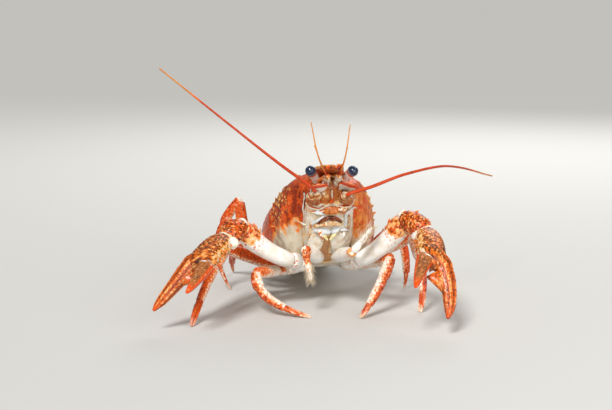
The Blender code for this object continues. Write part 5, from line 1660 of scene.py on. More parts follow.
@dataclass
class Cheliped:
    """A clawed limb, from its hip to the tips of its fingers.

    Attributes:
        side: the animal's side that it is on.
        palm_wide: half the palm's width.
        palm_deep: half its depth.
        joints: hip, ischium, knee, wrist, palm, the fixed finger's root, middle and tip, its tooth, and
            the movable finger's root and tip. The hip is in the trunk's frame.
        merus_sag: how far the arm's middle hangs.
        lobe_broad: half the breadth of the soft lobe at the wrist.
    """

    side: Side
    joints = {
        Side.LEFT: ((6.5, 34.0, -13.2), (7.8, 8.6, 14.0), (20.0, 2.0, 27.2), (25.8, -4.2, 24.2), (26.6, -14.4, 19.4),
            (28.4, -14.2, 19.0), (31.9, -19.0, 11.2), (29.9, -24.0, 5.3), (25.0, -18.2, 14.8), (24.8, -15.4, 19.7),
            (21.1, -28.5, 14.3)),
        Side.RIGHT: ((-6.5, 34.0, -13.2), (-11.0, 9.8, 13.7), (-24.4, 2.0, 24.9), (-28.7, -3.8, 22.3),
            (-34.4, -13.8, 18.2), (-35.9, -13.0, 18.4), (-39.9, -16.5, 13.9), (-46.5, -19.0, 6.2), (-36.0, -17.6, 13.4),
            (-32.8, -15.2, 17.7), (-37.1, -28.3, 12.9)),
    }
    merus_sag = {Side.LEFT: 2.3, Side.RIGHT: 1.9}
    lobe_broad = {Side.LEFT: 1.9, Side.RIGHT: 1.55}
    palm_wide: float = 3.8
    palm_deep: float = 2.75

    def __post_init__(self) -> None:
        """Places the joints; the hip is given in the trunk's frame."""
        self.word = self.side.word
        (self.hip, self.ischium, self.knee, self.wrist, self.palm, self.fixed_root, self.fixed_mid, self.fixed_tip,
            self.lobe, self.finger_root, self.finger_tip) = np.array(self.joints[self.side])
        self.hip = TRUNK.place(self.hip)
        self.hint = unit(np.cross(self.knee - self.ischium, self.wrist - self.knee))
        self.across = unit(self.fixed_root - self.finger_root)

    def build(self) -> None:
        """Makes each length of the limb, its joint skins and its thorns."""
        for part in (self.base, self.merus, self.carpus, self.hand, self.finger, self.joint_skins):
            part()

    def base(self) -> None:
        """Makes the short lengths between the hip and the arm."""
        piece = Piece(f"arm_base_{self.word}", ARM, "pale_shell", [f"cheliped_base_{self.word}"])
        for first, last, thick in ((0.0, 0.5, 2.65), (0.5, 0.97, 2.35)):
            rings = along(self.hip, self.ischium, ((0, 0.88), (0.3, 1.0), (0.8, 1.0), (1, 0.93)), thick, thick,
                first, last)
            piece.add(Limb(rings, self.hint, 0.9, 44, 0.3, (0.2, 0.25)).skin(self.base_rule))
        piece.make()

    @staticmethod
    def base_rule(patch: Patch) -> Look:
        """White, with orange spots towards the arm."""
        return 0.06 * (patch.cloud(1.0) - 0.5), {"pale": 1.0, "spots": ease(0.5, 1.0, patch.share) * 0.8}

    @staticmethod
    def plant(skin: Skin, places: Table, way: Array, lean: float, length: float, bend: float) -> list[Skin]:
        """Plants thorns where a length faces their aims most.

        Args:
            skin: the length's skin.
            places: a share of its rows and an aim for each thorn.
            way: the direction along the limb.
            lean: how much the thorns lean that way at their roots.
            length: how far they stand out.
            bend: how much their tips lean on.

        Returns:
            The thorns.
        """
        ring = normals(skin.points, True)
        made = []
        for share, *aim in places:
            row = int(share * skin.points.shape[0])
            column = int(np.argmax(ring[row] @ np.array(aim)))
            made.append(thorn(skin.points[row, column], ring[row, column] + way * lean, length, 0.42,
                skin.lie[row, column], way * bend))
        return made

    def merus(self) -> None:
        """Makes the long white arm that swells towards the knee."""
        span, sag = self.knee - self.ischium, UP * self.merus_sag[self.side]
        profile = ((0.02, 2.0, 2.0, 0.1), (0.15, 2.2, 2.3, 0.45), (0.42, 2.2, 2.5, 0.9), (0.7, 2.4, 2.9, 1.0),
            (0.87, 2.6, 3.2, 0.7), (0.96, 2.3, 2.5, 0.3))
        stations = [(self.ischium + span * t - sag * share, wide, deep) for t, wide, deep, share in profile]
        skin = Limb(stations, self.hint, 0.92, 64, 0.26, (0.35, 0.45)).skin(self.merus_rule)
        places = [(share, 0, turn, 1)
            for share, turn in ((0.62, 0.1), (0.72, -0.25), (0.78, 0.3), (0.84, 0.0), (0.88, -0.4), (0.9, 0.45))]
        Piece(f"arm_{self.word}", ARM, "pale_shell", [f"cheliped_merus_{self.word}"]).add(
            skin, *self.plant(skin, places, unit(span), 0.5, 0.95, 0.2)).make()

    @staticmethod
    def merus_rule(patch: Patch) -> Look:
        """White; spotted and then orange at the far end, most on its upper side.

        Args:
            patch: its points.

        Returns:
            Its relief and marks.
        """
        far = ease(0.66, 0.86, patch.share + 0.07 * patch.up + 0.08 * (patch.cloud(1.6, 4.0) - 0.5))
        near, own = patch.beads(0.55, 5.0)
        dot = ease(0.68, 0.42, near)
        worn = ease(0.35, 0.7, patch.cloud(0.9, 19.0))
        return 0.1 * ease(0.42, 0.12, near) * far, {
            "pale": 1 - (0.8 - 0.35 * worn) * far * ease(-0.9, -0.2, patch.up), "spots": ease(0.52, 0.8, patch.share),
            "grain": dot * far * (own > 0.58) * 0.9, "tip": dot * far * (own < 0.24) * 0.8, "red": 0.4 * far * dot}

    def carpus(self) -> None:
        """Makes the knobbly length between knee and wrist."""
        stations = along(self.knee, self.wrist, ((0.04, 2.2), (0.26, 2.85), (0.55, 3.15), (0.8, 2.8), (0.95, 2.2)))
        skin = Limb(stations, self.hint, 0.95, 72, 0.2, (0.4, 0.35)).skin(self.carpus_rule)
        places = [(share, x * self.side.value, -0.35, z) for share, x, z in (
            (0.28, -0.9, 0.5), (0.33, -0.2, 1.0), (0.36, 0.5, 0.8), (0.52, -0.7, 0.7), (0.56, 0.2, 1.0),
            (0.6, 0.9, 0.3), (0.74, -0.4, 0.9), (0.77, 0.5, 0.7), (0.66, 1.0, -0.3), (0.5, 1.1, -0.2))]
        Piece(f"wrist_shell_{self.word}", CARPUS, "shell", [f"cheliped_carpus_{self.word}"]).add(
            skin, *self.plant(skin, places, unit(self.wrist - self.knee), 0.45, 1.0, 0.25)).make()

    @staticmethod
    def carpus_rule(patch: Patch) -> Look:
        """Grains above with dark tops, and a white underside.

        Args:
            patch: its points.

        Returns:
            Its relief and marks.
        """
        near, own = patch.beads(0.5, 11.0)
        pale = ease(-0.35, -0.75, patch.up - 0.2 * patch.out[..., 1])
        pale = np.maximum(pale, ease(0.93, 1.0, patch.share) * ease(0.6, 0.1, patch.up))
        return 0.2 * ease(0.5, 0.12, near) * (1 - pale), {"pale": pale,
            "red": 0.4 * ease(0.45, 0.65, patch.cloud(1.8, 8.0)),
            "grain": ease(0.66, 0.4, near) * (own > 0.5) * (1 - pale),
            "tip": ease(0.62, 0.4, near) * (own < 0.26) * 0.85}

    def hand(self) -> None:
        """Makes the palm with its fixed finger in one shell, and the finger's tooth."""
        span = (self.fixed_root + self.finger_root) / 2 - self.wrist
        root, mid, tip = self.fixed_root, self.fixed_mid, self.fixed_tip
        palm = ((0.04, 0.5, 0.6909), (0.16, 0.82, 0.88), (0.4, 1, 1), (0.75, 1, 1), (1, 0.95, 0.92))
        stations = along(self.wrist, self.wrist + span, palm, self.palm_wide, self.palm_deep)
        stations += [(bow(root, mid, tip, t), wide, deep) for t, wide, deep in ((0.1, 2.35, 2.2), (0.2, 2.2, 2.1),
            (0.35, 2.1, 1.95), (0.55, 1.75, 1.65), (0.75, 1.45, 1.35), (0.9, 1.05, 1.0), (1.0, 0.45, 0.45))]
        skin = Limb(stations, self.across, 0.9, 96, 0.22, (0.4, 0.8)).skin(self.hand_rule)
        tooth = along(bow(root, mid, tip, 0.3) + (tip - root) * 0.05, self.lobe,
            ((0, 4.9, 1.45), (0.35, 3.1, 1.3), (0.7, 1.6, 0.95), (1, 0.4, 0.35)))
        places = [(0.1 + 0.055 * k, *-self.across) for k in range(7)]
        Piece(f"claw_hand_{self.word}", HAND, "shell", [f"cheliped_hand_{self.word}"]).add(
            skin, Limb(tooth, root - tip, 0.95, 40, 0.2, (0.1, 0.6)).skin(self.tooth_rule),
            *self.plant(skin, places, unit(span), 0.6, 0.75, 0.2)).make()

    @staticmethod
    def hand_rule(patch: Patch) -> Look:
        """Grains all over the palm, rows of them along the fixed finger.

        Args:
            patch: its points.

        Returns:
            Its relief and marks.
        """
        near, own = patch.beads(0.52, 17.0)
        dot = ease(0.66, 0.4, near)
        finger, turn = ease(0.4, 0.5, patch.share), np.cos(patch.angle)
        ridge = 0.5 + 0.5 * np.cos(patch.angle * 7)
        height = 0.12 * ease(0.48, 0.14, near) + 0.2 * ridge * finger * ease(1.0, 0.85, patch.share)
        dense = ease(0.3, 0.6, patch.cloud(1.7, 12.0))
        grain = dot * (own < 0.5 + 0.3 * dense) * (1 - 0.55 * finger) + ease(0.4, 0.0, ridge) * finger * dot * 0.8
        strip = ease(-0.45, -0.85, turn) * ease(0.42, 0.36, patch.share) * (0.28 + 0.4 * patch.cloud(0.5, 29.0))
        band = ease(0.035, 0.0, patch.share - 0.07 * ease(-0.1, -0.9, turn)) * ease(0.9, 0.3, patch.up)
        crest = finger * ease(0.5, 0.9, ridge) * dot * (own > 0.35) * ease(1.0, 0.9, patch.share)
        return height, {"pale": np.maximum(band, strip), "grain": grain, "dark": 0.4 * finger * ease(0.5, 0.1, ridge),
            "tip": (own > 0.76) * dot * 0.8 * (1 - finger) + 0.85 * crest,
            "red": np.maximum(0.45 * finger, ease(0.88, 0.97, patch.share))}

    @staticmethod
    def tooth_rule(patch: Patch) -> Look:
        """Orange, redder at its point.

        Args:
            patch: its points.

        Returns:
            Its relief and marks.
        """
        near, own = patch.beads(0.5, 27.0)
        dot = ease(0.62, 0.36, near)
        return 0.09 * ease(0.5, 0.1, near), {"red": 0.8 * ease(0.3, 0.9, patch.share),
            "grain": dot * (own > 0.72) * 0.8, "tip": dot * (own < 0.3) * 0.7}

    def finger(self) -> None:
        """Makes the movable finger."""
        root, tip = self.finger_root, self.finger_tip
        middle = (root + tip) / 2 - self.across * 0.5
        stations = along(root, tip, ((0.05, 1.95, 1.7),))
        stations += [(bow(root, middle, tip, t), wide, deep) for t, wide, deep in (
            (0.12, 2.08, 1.85), (0.24, 1.95, 1.75), (0.5, 1.45, 1.4), (0.75, 0.98, 1.0), (0.92, 0.58, 0.6),
            (1.0, 0.26, 0.28))]
        Piece(f"claw_finger_{self.word}", FINGER, "shell", [f"cheliped_finger_{self.word}"]).add(
            Limb(stations, self.across, 0.9, 64, 0.2, (0.15, 0.7)).skin(self.finger_rule)).make()

    @staticmethod
    def finger_rule(patch: Patch) -> Look:
        """Lengthwise ridges, red at the edges and the tip.

        Args:
            patch: its points.

        Returns:
            Its relief and marks.
        """
        ridge = 0.5 + 0.5 * np.cos(patch.angle * 6)
        near, own = patch.beads(0.5, 23.0)
        dot = ease(0.62, 0.36, near)
        red = np.maximum(0.9 * ease(0.72, 0.95, np.abs(np.cos(patch.angle))), ease(0.72, 0.92, patch.share))
        return 0.14 * ridge + 0.06 * ease(0.45, 0.1, near), {"pale": ease(0.05, 0.0, patch.share), "red": red,
            "grain": dot * (own > 0.7) * (1 - red), "tip": 0.5 * dot * (own < 0.15)}

    def joint_skins(self) -> None:
        """Makes the soft pale skins at the knee, the wrist and the root of the movable finger."""
        piece = Piece(f"arm_joint_skins_{self.word}", SOFT, "pale_shell")
        for before, joint, after, size in (
                (self.ischium, self.knee, self.wrist, 2.0), (self.knee, self.wrist, self.palm, 1.85)):
            way = unit(unit(joint - before) + unit(after - joint))
            rings = along(joint, joint + way * 0.8, ((-1, 0.8), (-0.4, 1.0), (0.4, 1.0), (1, 0.8)), size)
            piece.add(Limb(rings, UP, 1.0, 40, 0.15, (0.3, 0.3)).skin(self.fold_rule))
        span = self.finger_tip - self.finger_root
        root, ahead = self.finger_root + span * 0.11, unit(span)
        cuff = along(root, root + ahead, ((-0.3, 0.9), (-0.1, 1.0), (0.1, 1.0), (0.3, 0.9)), 2.2, 1.95)
        inner = self.wrist + np.array((-self.side.value * 2.3, -1.5, -0.9))
        lobe = along(inner, inner + UP, ((1.4, 0.5), (0.7, 0.95), (-0.5, 1.0), (-1.3, 0.5)), 1.25,
            self.lobe_broad[self.side])
        between = self.finger_root + self.across * 2.0
        hinge = [(between + ahead * t, f, f * 1.5) for t, f in ((-0.6, 0.35), (0.6, 0.6), (2.2, 0.5), (3.6, 0.15))]
        piece.add(Limb(cuff, self.across, 0.9, 48, 0.1, (0.1, 0.1)).skin(self.fold_rule),
            Limb(lobe, np.array((0, 1.0, 0)), 1.0, 32, 0.2, (0.5, 0.5)).skin(self.fold_rule),
            Limb(hinge, self.across, 1.0, 24, 0.2, (0.4, 0.6)).skin(self.fold_rule)).make()

    @staticmethod
    def fold_rule(patch: Patch) -> Look:
        """Fine folds across the joint."""
        return 0.08 * np.cos(patch.lie[..., 2] * math.tau / 0.5), {"pale": 0.5}


@dataclass
class WalkingLeg:
    """A walking leg in its two visible lengths.

    Attributes:
        name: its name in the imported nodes.
        hip: its hip, in the trunk's frame.
        knee: its knee.
        bend: the point that the lengths beyond the knee lean towards.
        foot: where its tip stands on the floor.
        size: how thick it is.
        pincer: whether it ends in a small pincer or in a plain claw.
        elbow: the point that the lengths above the knee lean towards, if they aren't straight.
        redness: how much red it has.
    """

    name: str
    hip: Point
    knee: Point
    bend: Point
    foot: tuple[float, float]
    size: float
    pincer: bool
    elbow: Point | None = None
    redness: float = 0.5

    REACH = 3.4
    DROP = 1.0
    THICKEST = 1.05
    FOOT_HEIGHT = 0.3
    BRISTLES = 90

    def __post_init__(self) -> None:
        """Places the joints."""
        self.outward = math.copysign(1.0, self.hip[0])
        self.top, self.mid = TRUNK.place(self.hip), np.array(self.knee)
        self.low = np.array((*self.foot, self.FOOT_HEIGHT))
        self.basis = self.top + TRUNK.way((self.outward * self.REACH, 0, -self.DROP)) + (self.mid - self.top) * 0.04
        self.hint = unit(np.cross(self.mid - self.basis, self.low - self.mid))
        self.aside = np.cross(unit(self.low - np.array(self.bend)), self.hint) * 0.62 * self.size

    def thigh_at(self, t: float) -> Array:
        """The place at a share t from the limb's root to its knee."""
        return bow(self.basis, np.array(self.elbow) if self.elbow else (self.basis + self.mid) / 2, self.mid, t)

    def shin_at(self, t: float) -> Array:
        """The place at a share t from the knee to the foot."""
        return bow(self.mid, np.array(self.bend), self.low, t)

    @staticmethod
    def stretch(place: Callable[[float], Array], first: float, last: float, shape: Table, thick: float,
            count: int) -> Stations:
        """Sets stations on a part of a curve.

        Args:
            place: gives a place of the curve.
            first: the share of the curve where the part starts.
            last: the share of the curve where it ends.
            shape: rows of a share of the part, a half width and a half depth.
            thick: a factor for both.
            count: how many stations there are, or 0 for one at each row of the shape.

        Returns:
            The stations.
        """
        shares = np.linspace(0, 1, count) if count else [row[0] for row in shape]
        return [(place(first + (last - first) * t), *(float(read(shape, t, k)) * thick for k in (1, 2)))
            for t in shares]

    def build(self) -> None:
        """Makes both lengths, the pincer or claw, and the bristles."""
        thick = min(self.size, self.THICKEST)
        root = along(self.top, self.basis, ((0, 2.0, 2.0), (0.55, 1.9, 1.9), (1, 1.5, 1.6)), thick)
        thigh = Piece(f"{self.name}_upper", LEG, "leg", [f"{self.name}_thigh"])
        thigh.add(Limb(root, self.hint, 0.95, 36, 0.3, (0.2, 0.3)).skin(self.root_rule))
        for first, last, shape in ((0.02, 0.3, ((0, 1.3, 1.45), (0.5, 1.4, 1.6), (1, 1.3, 1.45))),
                (0.3, 0.97, ((0, 1.15, 1.35), (0.15, 1.35, 1.62), (0.65, 1.42, 1.78), (0.92, 1.34, 1.6),
                    (1, 1.2, 1.35)))):
            stations = self.stretch(self.thigh_at, first, last, shape, thick, 12 if self.elbow else 0)
            thigh.add(Limb(stations, self.hint, 0.95, 40, 0.26, (0.35, 0.4)).skin(self.upper_rule))
        thigh.make()
        shin = Piece(f"{self.name}_lower", LEG, "leg", [f"{self.name}_shin"])
        for first, last, shape in ((0.01, 0.28, ((0, 1.15, 1.2), (0.4, 1.32, 1.4), (0.85, 1.36, 1.45), (1, 1.2, 1.25))),
                (0.28, 0.72, ((0, 1.0, 1.05), (0.15, 1.15, 1.25), (0.6, 1.08, 1.18), (1, 0.92, 1.05)))):
            stations = self.stretch(self.shin_at, first, last, shape, self.size, 10)
            shin.add(Limb(stations, self.hint, 0.95, 36, 0.22, (0.4, 0.4)).skin(self.lower_rule))
        pincer = (((0.7, 0.62, 0.35), (0.8, 0.58, 0.75), (0.92, 0.44, 0.8), (1.0, 0.26, 0.55)),
            ((0.68, 0.6, -0.5), (0.76, 0.56, -0.8), (0.9, 0.42, -0.85), (0.985, 0.24, -0.6)))
        claw = (((0.71, 0.7, 0.0), (0.8, 0.62, 0.0), (0.92, 0.42, 0.0), (1.0, 0.24, 0.0)),)
        for outline in pincer if self.pincer else claw:
            stations = [(self.shin_at(t) + self.aside * o, w * self.size, w * self.size) for t, w, o in outline]
            shin.add(Limb(stations, self.hint, 1.0, 24, 0.2, (0.4, 0.6)).skin(self.claw_rule))
        shin.make()
        self.bristles()

    @staticmethod
    def root_rule(patch: Patch) -> Look:
        """Plain white."""
        return 0.04 * (patch.cloud(0.9) - 0.5), {"pale": 1.0}

    def upper_rule(self, patch: Patch) -> Look:
        """White, with red spots towards the knee.

        Args:
            patch: its points.

        Returns:
            Its relief and marks.
        """
        upper = ease(-0.5, 0.4, patch.up - 0.3 * patch.out[..., 1])
        far = np.minimum(ease(0.2, 1.0, patch.share + 0.45 * (self.redness - 0.5)) * self.redness, 1.0)
        near, own = patch.beads(0.62, 6.0)
        return 0.05 * ease(0.5, 0.1, near), {"pale": 1 - far * (0.35 + 0.5 * upper), "spots": 0.3 + 0.7 * far,
            "grain": ease(0.62, 0.36, near) * (own > 0.6) * far * upper}

    def lower_rule(self, patch: Patch) -> Look:
        """Spotted on the outer side and pale on the inner side.

        Args:
            patch: its points.

        Returns:
            Its relief and marks.
        """
        outer = ease(-0.75, 0.75, -patch.out[..., 1] * 0.3 - patch.up * 0.35 + patch.out[..., 0] * 0.75 * self.outward)
        near, own = patch.beads(0.62, 3.0)
        dot = ease(0.62, 0.38, near)
        return 0.05 * ease(0.5, 0.1, near), {"pale": 1 - self.redness * (0.15 + 0.8 * outer),
            "spots": 0.5 + 0.5 * outer, "red": 0.5 * outer, "grain": dot * (own > 0.6) * ease(0.25, 0.7, outer),
            "tip": 0.5 * dot * (own < 0.15) * outer}

    def claw_rule(self, patch: Patch) -> Look:
        """Orange that pales to the tip.

        Args:
            patch: its points.

        Returns:
            Its relief and marks.
        """
        wave = clouds(patch.lie * np.array((1.0, 1.0, 0.4)), 0.5, 2.0)
        plain = 1 / max(self.redness, 1.0)
        return 0.03 * wave, {"pale": 0.6 * plain * ease(0.3, 0.7, wave),
            "tip": 0.8 * plain * ease(0.65, 1.0, patch.share)}

    def bristles(self) -> None:
        """Makes the short bristles along the last length."""
        chance = np.random.default_rng(sum(map(ord, self.name)))
        t = chance.uniform(0.55, 0.99, self.BRISTLES)
        roots = np.array([self.shin_at(v) for v in t])
        way = unit(self.shin_at(1.0) - self.shin_at(0.8))
        spread = beside_line(chance, way, self.BRISTLES)
        if self.pincer:
            roots = roots + self.aside * np.where(t > 0.72, np.sign(spread @ self.aside) * 0.75, 0)[:, None]
        radius = np.interp(t, (0.55, 0.72, 0.8, 1.0), (1.0, 0.85, 0.5, 0.25)) * self.size
        roots = roots + spread * (radius * 0.9)[:, None]
        ways = spread * 0.7 + way * 0.9
        lengths = chance.uniform(0.5, 1.2, self.BRISTLES)
        keep = (roots + unit(ways) * lengths[:, None])[:, 2] > 0.05
        Piece(f"{self.name}_bristles", HAIR, "leg").add(
            *hairs(roots[keep], ways[keep], lengths[keep], 0.035, way * 0.2)).make()


@dataclass
class Abdomen:
    """The six tail segments, their side flaps and swimmerets, and the tail fan.

    Attributes:
        segments: each one's length, half width, height and downward slope in degrees.
        start: where the first one starts, in the trunk's frame.
        profile: a share of a segment, how full it is there and how far its side flaps reach down.
        gap: the clearance between two segments.
        telson_length: the length of the plate at the end.
        telson_half: its half width.
        telson_root: a share of the slope down to it, a half width and a half depth.
        blades: the spread in degrees, the length and the half width of a side's paddles.
        fan_height: how high the fan starts above the floor.
        fan_slope: how much it falls towards its end.
    """

    segments: Table = ((5.0, 10.6, 7.4, 20), (9.0, 11.2, 7.5, 25), (8.5, 11.0, 7.3, 25), (8.0, 10.4, 6.8, 20),
        (8.0, 9.6, 6.0, 10), (9.0, 8.6, 4.9, 4))
    start: Point = (0.0, 60.8, 1.4)
    profile: Table = ((0, 0.94, 0.72), (0.15, 0.98, 0.84), (0.5, 1.02, 1.04), (0.8, 1.02, 0.9), (1, 1.0, 0.7))
    gap: float = 0.3
    telson_length: float = 13.0
    telson_half: float = 4.9
    telson_root: Table = ((0, 6.2, 2.6), (0.3, 5.9, 2.2), (0.65, 5.2, 1.4), (1, 4.3, 0.6))
    blades: Table = ((24.0, 12.5, 3.3), (52.0, 13.0, 3.9))
    fan_height: float = 1.35
    fan_slope: float = 0.075

    ROWS = 44
    COLUMNS = 96
    FRINGE = 130

    def __post_init__(self) -> None:
        """Places the segments' starts and ways, their end and the level heading."""
        back = TRUNK.way((0, 1, 0))
        self.level = unit(np.array((back[0], back[1], 0)))
        self.end = TRUNK.place(self.start)
        self.starts, self.ways = [], []
        for length, _, _, slope in self.segments:
            a = math.radians(slope)
            self.starts.append(self.end)
            self.ways.append(self.level * math.cos(a) - UP * math.sin(a))
            self.end = self.end + self.ways[-1] * length

    def outline(self, flaps: Array) -> Array:
        """Draws sections of a segment with an arched back and a hollow underside.

        Args:
            flaps: how far the side flaps reach down in each section.

        Returns:
            A ring of places for each section, in half widths and heights.
        """
        back = [(math.sin(a), -0.12 + 1.12 * math.cos(a)) for a in np.radians(np.linspace(-100, 100, 15))]
        rings = []
        for flap in flaps:
            lower = [(0.93, -flap), (0.82, -flap), (0.74, -0.5), (0.3, -0.42)]
            closed = np.array([*back, *lower, *((-x, y) for x, y in reversed(lower)), back[0]])
            reach = reaches(closed)
            at = np.linspace(0, reach[-1], self.COLUMNS, endpoint=False)
            rings.append(np.stack([np.interp(at, reach, closed[:, k]) for k in (0, 1)], axis=-1))
        return np.array(rings)

    def segment(self, k: int) -> Skin:
        """Builds one tail segment.

        Args:
            k: its number, counted from 0 in front.

        Returns:
            Its skin, with a flat face at both ends.
        """
        length, half, high, _ = self.segments[k]
        last = k + 1 == len(self.segments)
        after = k if last else k + 1
        next_half, next_high = self.segments[after][1:3]
        t, way = np.linspace(0, 1, self.ROWS), self.ways[k]
        ring = self.outline(read(self.profile, t, 2))
        facing = unit(self.ways[max(k - 1, 0)] + way), unit(way + self.ways[after])
        normal = unit(facing[0] * (1 - t)[:, None] + facing[1] * t[:, None])
        centre = self.starts[k] + way * (self.gap / 2 + (length - self.gap) * t)[:, None]
        across = unit(np.cross(UP, normal))
        up = unit(np.cross(normal, across))
        share = read(self.profile, t, 1)
        wide = (half + (next_half - half) * t * 0.5) * share
        tall = (high + (next_high - high) * t * 0.5) * share * (1 - 0.3 * last * ease(0.45, 1.0, t))
        x, y = wide[:, None] * ring[..., 0], tall[:, None] * ring[..., 1]
        points = centre[:, None] + across[:, None] * x[..., None] + up[:, None] * y[..., None]
        lie = np.stack([x, y, np.broadcast_to((length * t + 11 * k)[:, None], x.shape)], axis=-1)
        near, own = grains(lie, 0.9, 31.0 + k)
        above, band = ease(-0.5, 0.1, ring[..., 1]), t[:, None]
        height = above * (0.12 * hill(band, 0.93, 0.05) - 0.3 * hill(band, 0.27, 0.05) + 0.05 * ease(0.45, 0.1, near))
        end = ease(0.9, 0.97, band) * last
        above, side = np.maximum(above, end), ease(0.15, -0.45, ring[..., 1]) * (1 - end)
        dark = above * (0.55 * ease(0.8, 0.97, band) + 0.35 * ease(0.6, 0.8, clouds(lie, 2.0, 6.0)))
        marks = {"pale": np.maximum(side * 0.9, 1 - above), "dark": dark * (1 - side),
            "grain": ease(0.4, 0.15, near) * (own > 0.6) * 0.5 * above}
        rows = [0, *range(self.ROWS), -1]
        points = (points + normals(points, True) * height[..., None])[rows]
        points[[0, -1]] = points[[0, -1]].mean(axis=1, keepdims=True)
        return Skin(points, lie[rows], {name: values[rows] for name, values in marks.items()})

    def swimmerets(self, k: int) -> list[Skin]:
        """Builds the leaf-shaped paddles under a segment.

        Args:
            k: the segment's number, counted from 0 in front.

        Returns:
            The skins of the two on each side.
        """
        length, half, high, _ = self.segments[k]
        way = self.ways[k]
        across = unit(np.cross(UP, way))
        up = unit(np.cross(way, across))
        made = []
        for side in Side:
            root = self.starts[k] + way * length * 0.35 - across * side.value * half * 0.5 - up * high * 0.36
            for spread in (-0.35, 0.35):
                tip = root + way * length * 0.42 - up * high * 0.5 - across * side.value * spread * 2.2
                leaf = along(root, tip, ((0, 0.55, 0.4), (0.35, 0.8, 0.32), (0.75, 0.75, 0.25), (1, 0.35, 0.16)))
                made.append(Limb(leaf, across, 1.0, 20, 0.3, (0.3, 0.6)).skin(lambda patch: (0.0, {"pale": 0.7})))
        return made

    def blade(self, root: Array, way: Array, length: float, half: float, thick: float, narrow: float) -> Skin:
        """Builds a flat plate with a rounded end and ridges.

        Args:
            root: where it starts.
            way: its direction.
            length: its length.
            half: half its width at the widest.
            thick: its thickness at the root.
            narrow: the share of the width that it has at the root.

        Returns:
            The plate's skin.
        """
        outline = ((0, narrow), (0.12, 0.66 if narrow < 0.6 else 0.85), (0.3, 0.88), (0.6, 1.0), (0.8, 0.97),
            (0.92, 0.78), (0.98, 0.5), (1, 0.35))
        stations = [(root + way * length * t, half * f, thick / 2 * (1 - 0.45 * t)) for t, f in outline]
        return Limb(stations, unit(np.cross(UP, way)), 0.9, 56, 0.25, (0.2, 0.5)).skin(self.blade_rule)

    @staticmethod
    def blade_rule(patch: Patch) -> Look:
        """A ridge along the middle, a joint across, and a pale edge.

        Args:
            patch: its points.

        Returns:
            Its relief and marks.
        """
        middle = hill(patch.lie[..., 0], 0.0, 0.35) * ease(0.1, 0.4, patch.up)
        seam = hill(patch.share, 0.62, 0.02)
        pale = 0.4 * ease(0.85, 1.0, patch.share) + 0.9 * ease(0.1, -0.2, patch.up)
        return 0.14 * middle - 0.08 * seam, {"pale": pale, "dark": 0.3 * seam}

    def fan(self) -> None:
        """Makes the telson, the uropods and their fringe."""
        across = unit(np.cross(UP, self.level))
        heading = unit(self.level - UP * self.fan_slope)
        low_end = np.array((*self.end[:2], self.fan_height))
        start = low_end + heading * self.gap
        slope = along(self.end + UP * 0.7 - heading * 0.6, start + heading * self.telson_length * 0.45,
            self.telson_root)
        fringe = Piece("tail_fringe", HAIR, "shell")
        Piece("tail_plate", SHELL, "shell", ["telson"]).add(
            self.blade(start, heading, self.telson_length, self.telson_half, 1.9, 0.78),
            Limb(slope, across, 0.85, 72, 0.25, (0.2, 0.5)).skin(self.slope_rule)).make()
        fringe.add(*self.edge_hairs(start, heading, self.telson_length, self.telson_half, 5))
        for side in Side:
            root = low_end - across * side.value * (self.telson_half * 0.78 + 2.1) + heading * self.gap * 4
            piece = Piece(f"tail_paddle_{side.word}", SHELL, "shell", [f"uropod_{side.word}"])
            for k, (angle, length, half) in enumerate(self.blades):
                a = math.radians(-angle * side.value)
                x, y, z = heading
                way = np.array((x * math.cos(a) - y * math.sin(a), x * math.sin(a) + y * math.cos(a), z))
                piece.add(self.blade(root + way * 0.4, way, length, half, 1.5, 0.45))
                fringe.add(*self.edge_hairs(root + way * 0.4, way, length, half, 9 + k + side.value))
            knob = along(root, root + heading, ((0, 1.6, 1.1), (1.2, 1.8, 1.1), (3.0, 1.2, 0.9)))
            piece.add(Limb(knob, across, 0.95, 36, 0.3, (0.4, 0.4)).skin()).make()
        fringe.make()

    @staticmethod
    def slope_rule(patch: Patch) -> Look:
        """Fine grains on a slope that is pale below.

        Args:
            patch: its points.

        Returns:
            Its relief and marks.
        """
        near, own = patch.beads(0.9, 41.0)
        return 0.05 * ease(0.45, 0.1, near), {"pale": 0.9 * ease(0.0, -0.5, patch.up),
            "dark": 0.3 * ease(0.6, 0.8, patch.cloud(2.0, 6.0)), "grain": ease(0.4, 0.15, near) * (own > 0.6) * 0.5}

    def edge_hairs(self, root: Array, way: Array, length: float, half: float, seed: int) -> list[Skin]:
        """Grows the fringe round the end of a blade.

        Args:
            root: where the blade starts.
            way: its direction.
            length: its length.
            half: half its width.
            seed: picks the scatter.

        Returns:
            The skins of the bristles.
        """
        chance = np.random.default_rng(seed)
        across = unit(np.cross(UP, way))
        turn = np.linspace(-1.25, 1.25, self.FRINGE) + chance.normal(0, 0.01, self.FRINGE)
        roots = root + way * (length * (0.74 + 0.25 * np.cos(turn)))[:, None]
        roots = roots + across * (half * np.sin(turn) * 0.96)[:, None]
        ways = way * np.cos(turn)[:, None] + across * np.sin(turn)[:, None] * 1.2 + way * 0.3
        roots[:, 2] = np.maximum(roots[:, 2] - 0.15, 0.1)
        ways[:, 2] = np.maximum(ways[:, 2], -0.02)
        return hairs(roots, ways, chance.uniform(0.9, 1.5, self.FRINGE), 0.035, np.zeros(3))

    def build(self) -> None:
        """Makes the tail."""
        for k in range(len(self.segments)):
            piece = Piece(f"tail_segment_{k + 1}", SHELL, "shell", [f"abdomen_{k + 1}"]).add(self.segment(k))
            if 1 <= k <= 4:
                piece.add(*self.swimmerets(k))
            piece.make()
        self.fan()


